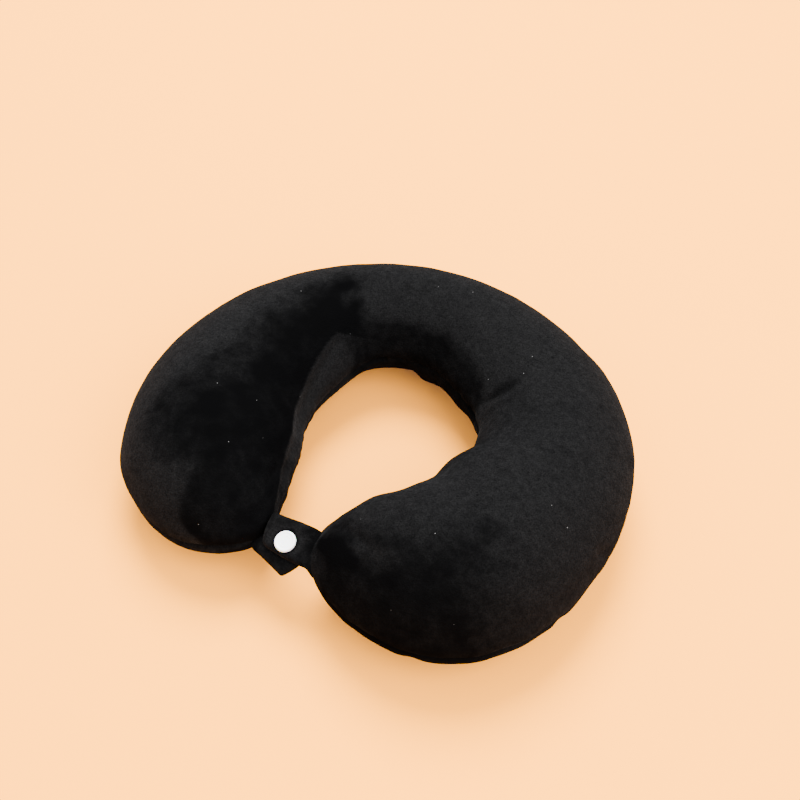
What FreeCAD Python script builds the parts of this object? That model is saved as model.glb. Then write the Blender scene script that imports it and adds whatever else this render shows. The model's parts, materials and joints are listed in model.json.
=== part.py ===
import FreeCAD, Part
import Sketcher
import math
import os

from FreeCAD import Placement, Rotation, Vector

# U shaped neck pillow.  Millimetres, +Z up, origin on the floor under the middle of the bounding box.
# The opening faces -Y, the nape of the neck rests at +Y.  The pillow bends round one vertical line,
# the bend axis.  An angle "theta" is counted about that line from +Y towards +X.

doc = FreeCAD.newDocument("neck_pillow")
sheet = doc.addObject("Spreadsheet::Sheet", "Dims")

DIMENSIONS = [
    # the stuffed body
    ("bend_radius", 99.0),
    ("bend_axis_y", -6.1),
    ("nape_half_width", 38.0),
    ("lobe_half_width", 55.5),
    ("nape_half_height", 34.5),
    ("lobe_half_height", 39.5),
    ("floor_flattening", 1.5),
    ("seam_height", 33.0),
    ("seam_half_gap", 0.3),
    # depth of each skin under the outside of the cover
    ("skin_outside", 0.0),
    ("skin_thread_outer", 0.5),
    ("skin_thread_inner", 1.1),
    ("skin_cover_inner", 1.6),
    ("skin_tape_outer", 1.7),
    ("skin_tape_inner", 2.1),
    ("skin_liner_outer", 3.5),
    ("skin_liner_inner", 4.0),
    ("skin_foam", 4.2),
    # the zipper in the seam behind the nape
    ("zipper_half_angle", 31.0),
    ("slot_half_angle", 32.3),
    ("tape_half_angle", 34.0),
    ("slot_half_height", 4.2),
    ("tape_width", 11.5),
    ("coil_gap", 0.35),
    ("coil_height", 1.55),
    ("coil_inner_radius", 135.35),
    ("coil_outer_radius", 136.45),
    ("stitch_row_height", 6.0),
    ("stitch_groove_depth_radius", 135.8),
    ("stitch_length", 2.2),
    ("stitch_thickness", 0.35),
    ("stop_angle", 31.1),
    ("stop_length", 1.8),
    # slider and pull
    ("slider_length", 9.0),
    ("slider_width", 7.0),
    ("slider_plate", 0.9),
    ("slider_back_plate", 0.6),
    ("slider_top_radius", 136.55),
    ("slider_back_radius", 134.5),
    ("slider_rest_angle", 29.0),
    ("bridge_length", 5.4),
    ("bridge_width", 1.8),
    ("bridge_rise", 2.3),
    ("bridge_bar", 0.8),
    ("pull_length", 15.0),
    ("pull_width", 5.0),
    ("pull_thickness", 1.0),
    ("pull_arm", 1.0),
    # the two tabs with the snap
    ("tab_width", 24.0),
    ("tab_root_width", 20.0),
    ("tab_reach", 15.5),
    ("tab_overhang", 14.0),
    ("tab_corner", 5.0),
    ("tab_layer", 1.2),
    ("tab_layer_gap", 0.25),
    ("tab_tilt", 19.4),
    ("upper_tab_turn", 8.0),
    ("lower_tab_turn", 165.0),
    ("snap_y", -101.9),
    ("snap_z", 36.0),
    ("cap_radius", 6.0),
    ("cap_thickness", 1.7),
    ("socket_radius", 5.2),
    ("socket_thickness", 2.2),
    ("socket_well_radius", 2.2),
    ("socket_web", 0.6),
    ("stud_flange", 1.5),
    ("stud_radius", 1.8),
    ("stud_height", 1.2),
    ("post_radius", 0.9),
    ("snap_clearance", 0.1),
    ("thread_thickness", 0.15),
]
for row, (alias, value) in enumerate(DIMENSIONS, start=1):
    sheet.set(f"A{row}", alias)
    sheet.set(f"B{row}", str(value))
    sheet.setAlias(f"B{row}", alias)
doc.recompute()


def size(alias):
    """One driving dimension, read from the sheet."""
    return float(sheet.get(alias))


# ---------------------------------------------------------------- shape of the stuffed body
NAPE_END = 36.0                # the width is constant up to here, so the zipper runs on a true arc
LOBE_START = 124.0             # the arms round off from here
ARM_END = 171.0                # where the rounding would close to a point
END_POWER = 1.8
LAST_STATION = 169.2
NAPE_STATIONS = [0.0, 9.0, 18.0, 27.0, NAPE_END, 45.0]
ARM_STATIONS = [60.0, 75.0, 90.0, 110.0, LOBE_START]
END_STATIONS = [136.0, 148.0, 158.0, 165.0, LAST_STATION]
STATIONS = NAPE_STATIONS + ARM_STATIONS + END_STATIONS
BIG = 400.0                    # wider and taller than the whole pillow


def widening(theta):
    """Share of the way from the nape's section to the lobe's section."""
    share = (abs(theta) - NAPE_END) / (LOBE_START - NAPE_END)
    return min(1.0, max(0.0, share))


def rounding(theta):
    """How much of the full section is left where an arm rounds off."""
    share = max(0.0, (abs(theta) - LOBE_START) / (ARM_END - LOBE_START))
    return (1.0 - share ** END_POWER) ** (1.0 / END_POWER)


def section(name, theta, skin):
    """An ellipse across the arm at theta, shrunk by the depth of the skin."""
    ellipse = doc.addObject("Part::Ellipse", name)
    turn = theta
    if abs(theta) == LAST_STATION:
        inset = math.degrees(size(skin) / size("bend_radius"))
        turn = math.copysign(LAST_STATION - inset, theta)
    grow = widening(theta)
    left = rounding(theta)
    width = f"(Dims.nape_half_width + (Dims.lobe_half_width - Dims.nape_half_width) * {grow:.5f})"
    height = f"(Dims.nape_half_height + (Dims.lobe_half_height - Dims.nape_half_height) * {grow:.5f})"
    ellipse.setExpression("MajorRadius", f"{width} * {left:.5f} - Dims.{skin}")
    ellipse.setExpression("MinorRadius", f"{height} * {left:.5f} - Dims.{skin}")
    across = Rotation(Vector(0, 0, 1), 90.0 - turn) * Rotation(Vector(1, 0, 0), 90.0)
    ellipse.Placement = Placement(Vector(0, 0, 0), across)
    angle = math.radians(turn)
    ellipse.setExpression("Placement.Base.x", f"Dims.bend_radius * {math.sin(angle):.7f}")
    ellipse.setExpression(
        "Placement.Base.y", f"Dims.bend_axis_y + Dims.bend_radius * {math.cos(angle):.7f}"
    )
    middle = f"({height} - Dims.floor_flattening - Dims.seam_height) * {left:.5f}"
    ellipse.setExpression("Placement.Base.z", f"Dims.seam_height + {middle}")
    return ellipse


def block(name, low, high):
    """A box as wide as the whole pillow between two heights, given as expressions."""
    box = doc.addObject("Part::Box", name)
    box.Length = BIG
    box.Width = BIG
    box.setExpression("Height", f"({high}) - ({low})")
    box.Placement = Placement(Vector(-BIG / 2, -BIG / 2, 0), Rotation())
    box.setExpression("Placement.Base.z", low)
    return box


def body_skin(skin):
    """The solid inside one skin, flat where it rests."""
    angles = [-theta for theta in reversed(STATIONS[1:])] + STATIONS
    loft = doc.addObject("Part::Loft", f"{skin}_loft")
    loft.Sections = [
        section(f"{skin}_section_{index}", theta, skin) for index, theta in enumerate(angles)
    ]
    loft.Solid = True
    loft.Ruled = False
    above_floor = block(f"{skin}_above_floor", f"Dims.{skin}", f"{BIG / 2}")
    return common(f"{skin}_solid", loft, above_floor)


def cut(name, base, tool):
    result = doc.addObject("Part::Cut", name)
    result.Base = base
    result.Tool = tool
    return result


def common(name, first, second):
    result = doc.addObject("Part::Common", name)
    result.Base = first
    result.Tool = second
    return result


def fuse(name, shapes):
    result = doc.addObject("Part::MultiFuse", name)
    result.Shapes = shapes
    return result


def ring_sector(name, inner, outer, low, high, half_angle, theta="0"):
    """A piece of a ring about the bend axis, its middle at theta; all sizes are expressions."""
    parts = []
    for kind, radius in (("outer", outer), ("inner", inner)):
        cylinder = doc.addObject("Part::Cylinder", f"{name}_{kind}")
        cylinder.setExpression("Radius", radius)
        cylinder.setExpression("Height", f"({high}) - ({low})")
        cylinder.setExpression("Angle", f"2 * ({half_angle})")
        cylinder.setExpression("Placement.Base.y", "Dims.bend_axis_y")
        cylinder.setExpression("Placement.Base.z", low)
        cylinder.setExpression("Placement.Rotation.Angle", f"90 - ({half_angle}) - ({theta})")
        parts.append(cylinder)
    return cut(name, parts[0], parts[1])


NODES = []


def node(name, shape):
    """Marks a document object as one physical piece."""
    shape.Label = name
    NODES.append(shape)
    return shape


outside = body_skin("skin_outside")
thread_outer = body_skin("skin_thread_outer")
thread_inner = body_skin("skin_thread_inner")
cover_inner = body_skin("skin_cover_inner")
tape_outer = body_skin("skin_tape_outer")
tape_inner = body_skin("skin_tape_inner")
liner_outer = body_skin("skin_liner_outer")
liner_inner = body_skin("skin_liner_inner")
foam = body_skin("skin_foam")

above_seam = block("above_seam", "Dims.seam_height + Dims.seam_half_gap", f"{BIG / 2}")
below_seam = block("below_seam", f"-{BIG / 4}", "Dims.seam_height - Dims.seam_half_gap")
seam_gap = block(
    "seam_gap",
    "Dims.seam_height - Dims.seam_half_gap + 0.05",
    "Dims.seam_height + Dims.seam_half_gap - 0.05",
)

# ---------------------------------------------------------------- cover
OUTSIDE_RADIUS = "Dims.bend_radius + 60"
INSIDE_RADIUS = "Dims.bend_radius + 10"
zipper_slot = ring_sector(
    "zipper_slot",
    INSIDE_RADIUS,
    OUTSIDE_RADIUS,
    "Dims.seam_height - Dims.slot_half_height",
    "Dims.seam_height + Dims.slot_half_height",
    "Dims.slot_half_angle",
)
STITCH_GROOVE_HALF = 0.4
stitch_grooves = {}
for place, side in (("upper", 1), ("lower", -1)):
    row_height = f"Dims.seam_height + {side} * Dims.stitch_row_height"
    stitch_grooves[place] = ring_sector(
        f"{place}_stitch_groove",
        "Dims.stitch_groove_depth_radius",
        OUTSIDE_RADIUS,
        f"{row_height} - {STITCH_GROOVE_HALF}",
        f"{row_height} + {STITCH_GROOVE_HALF}",
        "Dims.slot_half_angle",
    )
cover_wall = cut("cover_wall", outside, cover_inner)
slotted_wall = cut("slotted_wall", cover_wall, zipper_slot)
upper_cover = common("upper_cover", slotted_wall, above_seam)
lower_cover = common("lower_cover", slotted_wall, below_seam)
node("cover_top_panel", cut("cover_top", upper_cover, stitch_grooves["upper"]))
node("cover_bottom_panel", cut("cover_bottom", lower_cover, stitch_grooves["lower"]))
thread_wall = cut("thread_wall", thread_outer, thread_inner)
slotted_thread = cut("slotted_thread", thread_wall, zipper_slot)
node("cover_seam_thread", common("cover_thread", slotted_thread, seam_gap))

# ---------------------------------------------------------------- liner and foam
liner_wall = cut("liner_wall", liner_outer, liner_inner)
node("liner_top_panel", common("liner_top", liner_wall, above_seam))
node("liner_bottom_panel", common("liner_bottom", liner_wall, below_seam))
node("liner_seam_thread", common("liner_thread", liner_wall, seam_gap))
node("foam_core", foam)

# ---------------------------------------------------------------- zipper
tape_wall = cut("tape_wall", tape_outer, tape_inner)
for place, side in (("upper", 1), ("lower", -1)):
    near = f"Dims.seam_height + {side} * Dims.coil_gap"
    tape_far = f"Dims.seam_height + {side} * Dims.tape_width"
    coil_far = f"Dims.seam_height + {side} * (Dims.coil_gap + Dims.coil_height)"
    tape_span = (near, tape_far) if side > 0 else (tape_far, near)
    coil_span = (near, coil_far) if side > 0 else (coil_far, near)
    tape_sector = ring_sector(
        f"{place}_tape_sector", INSIDE_RADIUS, OUTSIDE_RADIUS, *tape_span, "Dims.tape_half_angle"
    )
    node(f"zipper_tape_{place}", common(f"{place}_tape", tape_wall, tape_sector))
    coil = ring_sector(
        f"{place}_coil",
        "Dims.coil_inner_radius",
        "Dims.coil_outer_radius",
        *coil_span,
        "Dims.zipper_half_angle",
    )
    node(f"zipper_coil_{place}", coil)

STOP_HALF_ANGLE = "Dims.stop_length * 90 / (pi * Dims.coil_outer_radius)"
STOP_RISE = 0.3                # how far a stop stands over the coil


def stop(name, low, high, theta):
    """A crimped metal stop at the end of the coils."""
    outer = f"Dims.coil_outer_radius + {STOP_RISE}"
    return ring_sector(name, "Dims.coil_inner_radius", outer, low, high, STOP_HALF_ANGLE, theta)


COIL_NEAR = "Dims.coil_gap"
COIL_FAR = f"(Dims.coil_gap + Dims.coil_height + {STOP_RISE})"
CLOSED_END = f"Dims.stop_angle + {STOP_HALF_ANGLE}"
OVER_COILS = f"Dims.seam_height + {COIL_FAR}"
UNDER_COILS = f"Dims.seam_height - {COIL_FAR}"
top_stops = [
    stop("top_stop_upper", f"Dims.seam_height + {COIL_NEAR}", OVER_COILS, CLOSED_END),
    stop("top_stop_lower", UNDER_COILS, f"Dims.seam_height - {COIL_NEAR}", CLOSED_END),
]
node("zipper_top_stops", fuse("top_stops", top_stops))
node("zipper_bottom_stop", stop("bottom_stop", UNDER_COILS, OVER_COILS, f"-({CLOSED_END})"))


def stitch_row(name, height):
    """Separate stitches round the bend axis, lying in their groove."""
    length = size("stitch_length")
    thick = size("stitch_thickness")
    radius = size("stitch_groove_depth_radius") + 0.1
    pitch = math.degrees(1.35 * length / radius)
    reach = size("slot_half_angle") - pitch
    count = int(2 * reach / pitch)
    stitches = []
    for index in range(count + 1):
        theta = -reach + index * 2 * reach / count
        stitch = Part.makeBox(length, thick, thick, Vector(-length / 2, radius, height - thick / 2))
        stitch.rotate(Vector(0, 0, 0), Vector(0, 0, 1), -theta)
        stitch.translate(Vector(0, size("bend_axis_y"), 0))
        stitches.append(stitch)
    row_of_stitches = doc.addObject("Part::Feature", name)
    row_of_stitches.Shape = Part.makeCompound(stitches)
    return row_of_stitches


seam = size("seam_height")
for place, side in (("upper", 1), ("lower", -1)):
    name = f"zipper_stitching_{place}"
    node(name, stitch_row(name, seam + side * size("stitch_row_height")))


def beam(name, length, inner, outer, height):
    """A box centred on the seam height and on the +Y line; radii and sizes are expressions."""
    box = doc.addObject("Part::Box", name)
    box.setExpression("Length", length)
    box.setExpression("Width", f"({outer}) - ({inner})")
    box.setExpression("Height", height)
    box.setExpression("Placement.Base.x", f"-({length}) / 2")
    box.setExpression("Placement.Base.y", f"Dims.bend_axis_y + {inner}")
    box.setExpression("Placement.Base.z", f"Dims.seam_height - ({height}) / 2")
    return box


def at_slider(shape):
    """Turns a piece made on the +Y line to where the slider rests."""
    turn = Rotation(Vector(0, 0, 1), -size("slider_rest_angle"))
    shape.Placement = Placement(Vector(0, 0, 0), turn, Vector(0, size("bend_axis_y"), 0))
    return shape


# The slider is a front plate and a back plate joined by a thin web that runs between the coils,
# with a bridge on the front that holds the pull.
FRONT_OUTER = "(Dims.slider_top_radius + Dims.slider_plate)"
BACK_INNER = "(Dims.slider_back_radius - Dims.slider_back_plate)"
BRIDGE_TOP = f"({FRONT_OUTER} + Dims.bridge_rise)"
EYE_LENGTH = "(Dims.bridge_length - 2 * Dims.bridge_bar)"
WEB_THICKNESS = "(2 * Dims.coil_gap - 0.2)"
FRONT_INNER = "Dims.slider_top_radius"
BACK_OUTER = "Dims.slider_back_radius"
front_plate = beam("front_plate", "Dims.slider_length", FRONT_INNER, FRONT_OUTER, "Dims.slider_width")
back_plate = beam("back_plate", "Dims.slider_length - 1", BACK_INNER, BACK_OUTER, "Dims.slider_width - 0.6")
web = beam("web", "Dims.slider_length / 3", BACK_INNER, FRONT_OUTER, WEB_THICKNESS)
bridge_block = beam("bridge_block", "Dims.bridge_length", FRONT_OUTER, BRIDGE_TOP, "Dims.bridge_width")
EYE_TOP = f"{BRIDGE_TOP} - Dims.bridge_bar"
bridge_eye = beam("bridge_eye", EYE_LENGTH, FRONT_OUTER, EYE_TOP, "Dims.bridge_width + 1")
bridge = cut("bridge", bridge_block, bridge_eye)
slider = fuse("slider", [front_plate, back_plate, web, bridge])
node("zipper_slider_body", at_slider(slider))

# The pull's cross bar lies in the middle of the bridge's eye, and the pull swings about it.
PULL_AXIS = f"({FRONT_OUTER} + (Dims.bridge_rise - Dims.bridge_bar) / 2)"
PULL_INNER = f"({PULL_AXIS} - Dims.pull_thickness / 2)"
PULL_OUTER = f"({PULL_AXIS} + Dims.pull_thickness / 2)"
pull_blank = beam("pull_blank", "Dims.pull_length", PULL_INNER, PULL_OUTER, "Dims.pull_width")
pull_blank.setExpression("Placement.Base.x", "Dims.pull_thickness / 2 - Dims.pull_length")
window_length = "Dims.bridge_length / 2 + Dims.bridge_bar"
window_width = "Dims.pull_width - 2 * Dims.pull_arm"
pull_window = beam("pull_window", window_length, PULL_INNER, PULL_OUTER, window_width)
pull_window.setExpression("Placement.Base.x", f"-Dims.pull_thickness / 2 - ({window_length})")
pull_frame = cut("pull_frame", pull_blank, pull_window)
node("zipper_pull_tab", at_slider(pull_frame))

# ---------------------------------------------------------------- tabs
# Both tabs are drawn in one frame with the middle of the snap as origin, +X towards the tab's root
# and the plane between socket and stud at zero height.


def tab_placement(turn):
    tilt = Rotation(Vector(1, 0, 0), size("tab_tilt"))
    return Placement(Vector(0, size("snap_y"), size("snap_z")), tilt * Rotation(Vector(0, 0, 1), turn))


def origin_plane(body, role):
    return next(feature for feature in body.Origin.OriginFeatures if feature.Role == role)


def tab_layer(name, bottom, turn):
    """One layer of a tab: wide at the free end, drawn in at the root, with a hole for the post."""
    body = doc.addObject("PartDesign::Body", f"{name}_body")
    outline = body.newObject("Sketcher::SketchObject", f"{name}_outline")
    outline.AttachmentSupport = [(origin_plane(body, "XY_Plane"), "")]
    outline.MapMode = "FlatFace"
    corners = [
        ("tab_reach", 1.0, "tab_root_width", 0.5),
        ("tab_reach", 0.5, "tab_width", 0.5),
        ("tab_overhang", -1.0, "tab_width", 0.5),
        ("tab_overhang", -1.0, "tab_width", -0.5),
        ("tab_reach", 0.5, "tab_width", -0.5),
        ("tab_reach", 1.0, "tab_root_width", -0.5),
    ]
    points = [Vector(kx * size(ax), ky * size(ay), 0) for ax, kx, ay, ky in corners]
    for index, point in enumerate(points):
        outline.addGeometry(Part.LineSegment(point, points[(index + 1) % len(points)]), False)
    for index, (along, along_share, across, across_share) in enumerate(corners):
        previous = (index - 1) % len(corners)
        outline.addConstraint(Sketcher.Constraint("Coincident", previous, 2, index, 1))
        for kind, alias, share in (("DistanceX", along, along_share), ("DistanceY", across, across_share)):
            number = outline.addConstraint(
                Sketcher.Constraint(kind, -1, 1, index, 1, share * size(alias))
            )
            outline.setExpression(f"Constraints[{number}]", f"{share} * Dims.{alias}")
    hole = outline.addGeometry(Part.Circle(Vector(0, 0, 0), Vector(0, 0, 1), size("post_radius")), False)
    outline.addConstraint(Sketcher.Constraint("Coincident", hole, 3, -1, 1))
    number = outline.addConstraint(Sketcher.Constraint("Radius", hole, size("post_radius")))
    outline.setExpression(f"Constraints[{number}]", "Dims.post_radius + Dims.snap_clearance")
    pad = body.newObject("PartDesign::Pad", f"{name}_pad")
    pad.Profile = outline
    pad.setExpression("Length", "Dims.tab_layer")
    doc.recompute()
    corner_names = []
    for number, edge in enumerate(pad.Shape.Edges, start=1):
        middle = edge.CenterOfMass
        upright = abs(middle.z - size("tab_layer") / 2) < 0.01
        if upright and middle.x < 0.01 - size("tab_overhang"):
            corner_names.append(f"Edge{number}")
    fillet = body.newObject("PartDesign::Fillet", f"{name}_corners")
    fillet.Base = (pad, corner_names)
    fillet.setExpression("Radius", "Dims.tab_corner")
    body.Tip = fillet
    place = tab_placement(turn)
    body.Placement = place * Placement(Vector(0, 0, bottom), Rotation())
    return node(name, body)


def disc(name, radius, low, high):
    """A cylinder on the snap's axis between two heights in the tab's frame."""
    cylinder = doc.addObject("Part::Cylinder", name)
    cylinder.setExpression("Radius", radius)
    cylinder.setExpression("Height", f"({high}) - ({low})")
    cylinder.setExpression("Placement.Base.z", low)
    return cylinder


def tab_thread(name, bottom, turn):
    """The seam that holds a tab's layers together, along three sides between them."""
    inset = 1.8
    width = 0.8
    loops = []
    for label, depth in (("outer", inset), ("inner", inset + width)):
        box = doc.addObject("Part::Box", f"{name}_{label}")
        box.setExpression("Length", f"Dims.tab_reach + Dims.tab_overhang - {depth} - 1")
        box.setExpression("Width", f"Dims.tab_root_width - 2 * ({depth} - 1)")
        box.setExpression("Height", "Dims.thread_thickness")
        box.setExpression("Placement.Base.x", f"{depth} - Dims.tab_overhang")
        box.setExpression("Placement.Base.y", f"{depth} - 1 - Dims.tab_root_width / 2")
        loops.append(box)
    thread = cut(f"{name}_loop", loops[0], loops[1])
    thread.Placement = tab_placement(turn) * Placement(Vector(0, 0, bottom), Rotation())
    return node(name, thread)


LAYER_STEP = size("tab_layer") + size("tab_layer_gap")
TOUCH_GAP = 0.05               # between a snap part and the fabric that it clamps
upper_turn = size("upper_tab_turn")
lower_turn = size("lower_tab_turn")
socket_top = size("snap_clearance") + size("socket_thickness")
upper_bottom = socket_top + TOUCH_GAP
upper_top = upper_bottom + LAYER_STEP + size("tab_layer")
stud_bottom = -size("snap_clearance") - size("stud_flange")
lower_top = stud_bottom - TOUCH_GAP
lower_bottom = lower_top - LAYER_STEP - size("tab_layer")
thread_lift = (size("tab_layer_gap") - size("thread_thickness")) / 2
tab_layer("upper_tab_back_layer", upper_bottom, upper_turn)
tab_layer("upper_tab_front_layer", upper_bottom + LAYER_STEP, upper_turn)
tab_thread("upper_tab_seam_thread", upper_bottom + size("tab_layer") + thread_lift, upper_turn)
tab_layer("lower_tab_back_layer", lower_bottom, lower_turn)
tab_layer("lower_tab_front_layer", lower_bottom + LAYER_STEP, lower_turn)
tab_thread("lower_tab_seam_thread", lower_bottom + size("tab_layer") + thread_lift, lower_turn)

# ---------------------------------------------------------------- snap fastener
HEAD_HEIGHT = 0.35             # of a post's flattened end
HEAD_RADIUS = 1.2
DISH_RADIUS = 40.0             # of the shallow hollow in a cap
DISH_DEPTH = 0.25
CAP_EDGE = 0.7
WELL_TOP = "(Dims.snap_clearance + Dims.socket_thickness - Dims.socket_web)"
STUD_WEB_TOP = "(Dims.socket_web - Dims.snap_clearance - Dims.stud_flange)"


def cap(name, fabric, web_side, outward):
    """A domed cap on the fabric, whose post runs through to a flattened head past the web."""
    face = f"{fabric + outward * TOUCH_GAP}"
    crown_far = f"{face} + {outward} * Dims.cap_thickness"
    head_far = f"{web_side} - {outward} * {HEAD_HEIGHT}"

    def span(first, second):
        return (first, second) if outward > 0 else (second, first)

    crown = disc(f"{name}_crown", "Dims.cap_radius", *span(face, crown_far))
    rounded = doc.addObject("Part::Fillet", f"{name}_rounded")
    rounded.Base = crown
    doc.recompute()
    rim = [
        number
        for number, edge in enumerate(crown.Shape.Edges, start=1)
        if abs(edge.CenterOfMass.z - (fabric + outward * (TOUCH_GAP + size("cap_thickness")))) < 0.01
    ]
    rounded.Edges = [(number, CAP_EDGE, CAP_EDGE) for number in rim]
    ball = doc.addObject("Part::Sphere", f"{name}_dish")
    ball.Radius = DISH_RADIUS
    lift = outward * (DISH_RADIUS - DISH_DEPTH)
    ball.setExpression("Placement.Base.z", f"{crown_far} + {lift}")
    dished = cut(f"{name}_dished", rounded, ball)
    post = disc(f"{name}_post", "Dims.post_radius", *span(head_far, face))
    head = disc(f"{name}_head", f"{HEAD_RADIUS}", *span(head_far, web_side))
    return fuse(f"{name}_solid", [dished, post, head])


front_cap = cap("front_cap", upper_top, WELL_TOP, 1)
back_cap = cap("back_cap", lower_bottom, STUD_WEB_TOP, -1)

SOCKET_TOP = "(Dims.snap_clearance + Dims.socket_thickness)"
socket_blank = disc("socket_blank", "Dims.socket_radius", "Dims.snap_clearance", SOCKET_TOP)
socket_well = disc("socket_well", "Dims.socket_well_radius", "Dims.snap_clearance", WELL_TOP)
post_hole = disc("socket_hole", "Dims.post_radius + Dims.snap_clearance", WELL_TOP, SOCKET_TOP)
socket = cut("socket", socket_blank, fuse("socket_bores", [socket_well, post_hole]))

STUD_BOTTOM = "(-Dims.snap_clearance - Dims.stud_flange)"
STUD_FACE = "(-Dims.snap_clearance)"
STUD_TOP = "(Dims.stud_height - Dims.snap_clearance)"
flange = disc("stud_flange", "Dims.socket_radius", STUD_BOTTOM, STUD_FACE)
nub = disc("stud_nub", "Dims.stud_radius", STUD_FACE, STUD_TOP)
stud_hollow = disc("stud_hollow", f"{HEAD_RADIUS} + 0.1", STUD_WEB_TOP, STUD_TOP)
stud_hole = disc("stud_hole", "Dims.post_radius + Dims.snap_clearance", STUD_BOTTOM, STUD_WEB_TOP)
stud_blank = fuse("stud_blank", [flange, nub])
stud = cut("stud", stud_blank, fuse("stud_bores", [stud_hollow, stud_hole]))

for name, shape, turn in (
    ("snap_front_cap", front_cap, upper_turn),
    ("snap_socket", socket, upper_turn),
    ("snap_stud", stud, lower_turn),
    ("snap_back_cap", back_cap, lower_turn),
):
    shape.Placement = tab_placement(turn)
    node(name, shape)


# ---------------------------------------------------------------- stitches at the tab roots
def root_stitches(name, side):
    """A short bar tack on the end of an arm, where its tab is caught in the seam."""
    theta = math.radians(LAST_STATION)
    tack_length = 1.8
    thick = size("stitch_thickness")
    stand_off = 0.15
    pitch = 1.6
    tacks = []
    for index in range(-3, 4):
        stitch = Part.makeBox(thick, thick, tack_length, Vector(index * pitch, stand_off, -tack_length / 2))
        stitch.rotate(Vector(0, 0, 0), Vector(0, 0, 1), -90.0 - LAST_STATION)
        middle = Vector(math.sin(theta), math.cos(theta), 0) * size("bend_radius")
        stitch.translate(middle + Vector(0, size("bend_axis_y"), seam))
        if side < 0:
            stitch = stitch.mirror(Vector(0, 0, 0), Vector(1, 0, 0))
        tacks.append(stitch)
    tack = doc.addObject("Part::Feature", name)
    tack.Shape = Part.makeCompound(tacks)
    return node(name, tack)


root_stitches("upper_tab_root_stitches", 1)
root_stitches("lower_tab_root_stitches", -1)

# ---------------------------------------------------------------- check and write
doc.recompute()
for thing in doc.Objects:
    if "Invalid" in thing.State or "Error" in thing.State:
        raise RuntimeError(f"{thing.Label} failed to build")
os.makedirs("parts", exist_ok=True)
for piece in NODES:
    if piece.Shape.isNull() or not piece.Shape.isValid() or not piece.Shape.Solids:
        raise RuntimeError(f"{piece.Label} has no valid solid")
    piece.Shape.exportStep(f"parts/{piece.Label}.step")
    print(piece.Label, len(piece.Shape.Solids), round(piece.Shape.Volume, 2))
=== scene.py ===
import json
import math

import bmesh
import bpy
import numpy as np
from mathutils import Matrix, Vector

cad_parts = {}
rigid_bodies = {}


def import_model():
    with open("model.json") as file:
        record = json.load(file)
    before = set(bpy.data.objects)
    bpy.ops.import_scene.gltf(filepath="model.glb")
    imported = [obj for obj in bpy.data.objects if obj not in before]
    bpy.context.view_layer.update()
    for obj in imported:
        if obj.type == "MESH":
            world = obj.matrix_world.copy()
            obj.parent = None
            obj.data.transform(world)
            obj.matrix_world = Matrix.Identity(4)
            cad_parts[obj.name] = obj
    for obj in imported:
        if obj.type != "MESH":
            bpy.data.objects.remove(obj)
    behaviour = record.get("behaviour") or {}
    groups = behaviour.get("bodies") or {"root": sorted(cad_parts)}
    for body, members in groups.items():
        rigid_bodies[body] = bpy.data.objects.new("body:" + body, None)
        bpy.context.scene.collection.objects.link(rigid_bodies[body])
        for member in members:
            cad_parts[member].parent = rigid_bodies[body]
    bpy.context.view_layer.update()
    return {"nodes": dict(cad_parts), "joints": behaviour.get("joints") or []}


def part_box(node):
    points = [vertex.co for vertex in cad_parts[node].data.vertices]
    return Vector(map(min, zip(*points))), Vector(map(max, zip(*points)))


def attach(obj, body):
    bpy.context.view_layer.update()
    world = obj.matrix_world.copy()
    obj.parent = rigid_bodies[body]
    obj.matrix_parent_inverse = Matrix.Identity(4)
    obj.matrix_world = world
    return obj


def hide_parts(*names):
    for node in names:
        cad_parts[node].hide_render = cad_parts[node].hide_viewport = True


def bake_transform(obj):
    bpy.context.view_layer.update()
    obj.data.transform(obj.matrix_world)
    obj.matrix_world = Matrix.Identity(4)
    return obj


# A U shaped neck pillow in black plush.  The frame gives the pillow's box, the bend axis that the arms
# run round, the seam's height, the zipper, the snap and the hinge lines of the two tabs.  Everything
# here is placed from those.  Angles "theta" run along the arms from the nape (right arm positive), and
# "phi" goes round the section from the outer seam (0) over the top to the inner seam (180 degrees).

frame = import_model()
joints = {joint["name"]: joint for joint in frame["joints"]}
MM = 0.001
SEED = 7

# ---------------------------------------------------------------- sizes
AXIS = Vector(joints["zipper_travel"]["pos_m"])     # on the bend axis, at the seam's height
SEAM = AXIS.z
COIL_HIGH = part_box("zipper_coil_upper")[1]
COIL_OUTER = COIL_HIGH.y - AXIS.y   # radius of the front of the zipper's coils
COIL_ANGLE = math.degrees(math.asin(COIL_HIGH.x / COIL_OUTER))
SLOT_ANGLE = COIL_ANGLE + 1.3
SLOT_HALF = 4.2 * MM
STITCH_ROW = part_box("zipper_stitching_upper")[0].z + 0.18 * MM - SEAM
NAPE_HALF = 38 * MM
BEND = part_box("cover_top_panel")[1].y - AXIS.y - NAPE_HALF
DROP = SEAM + 1.5 * MM              # the underside would reach this far without a floor
CLOTH = 1.2 * MM                    # thickness of the plush's backing and pile root
LINER_CLOTH = 0.3 * MM
LINER_DEPTH = 4.2 * MM
FOAM_DEPTH = 5.0 * MM

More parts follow.
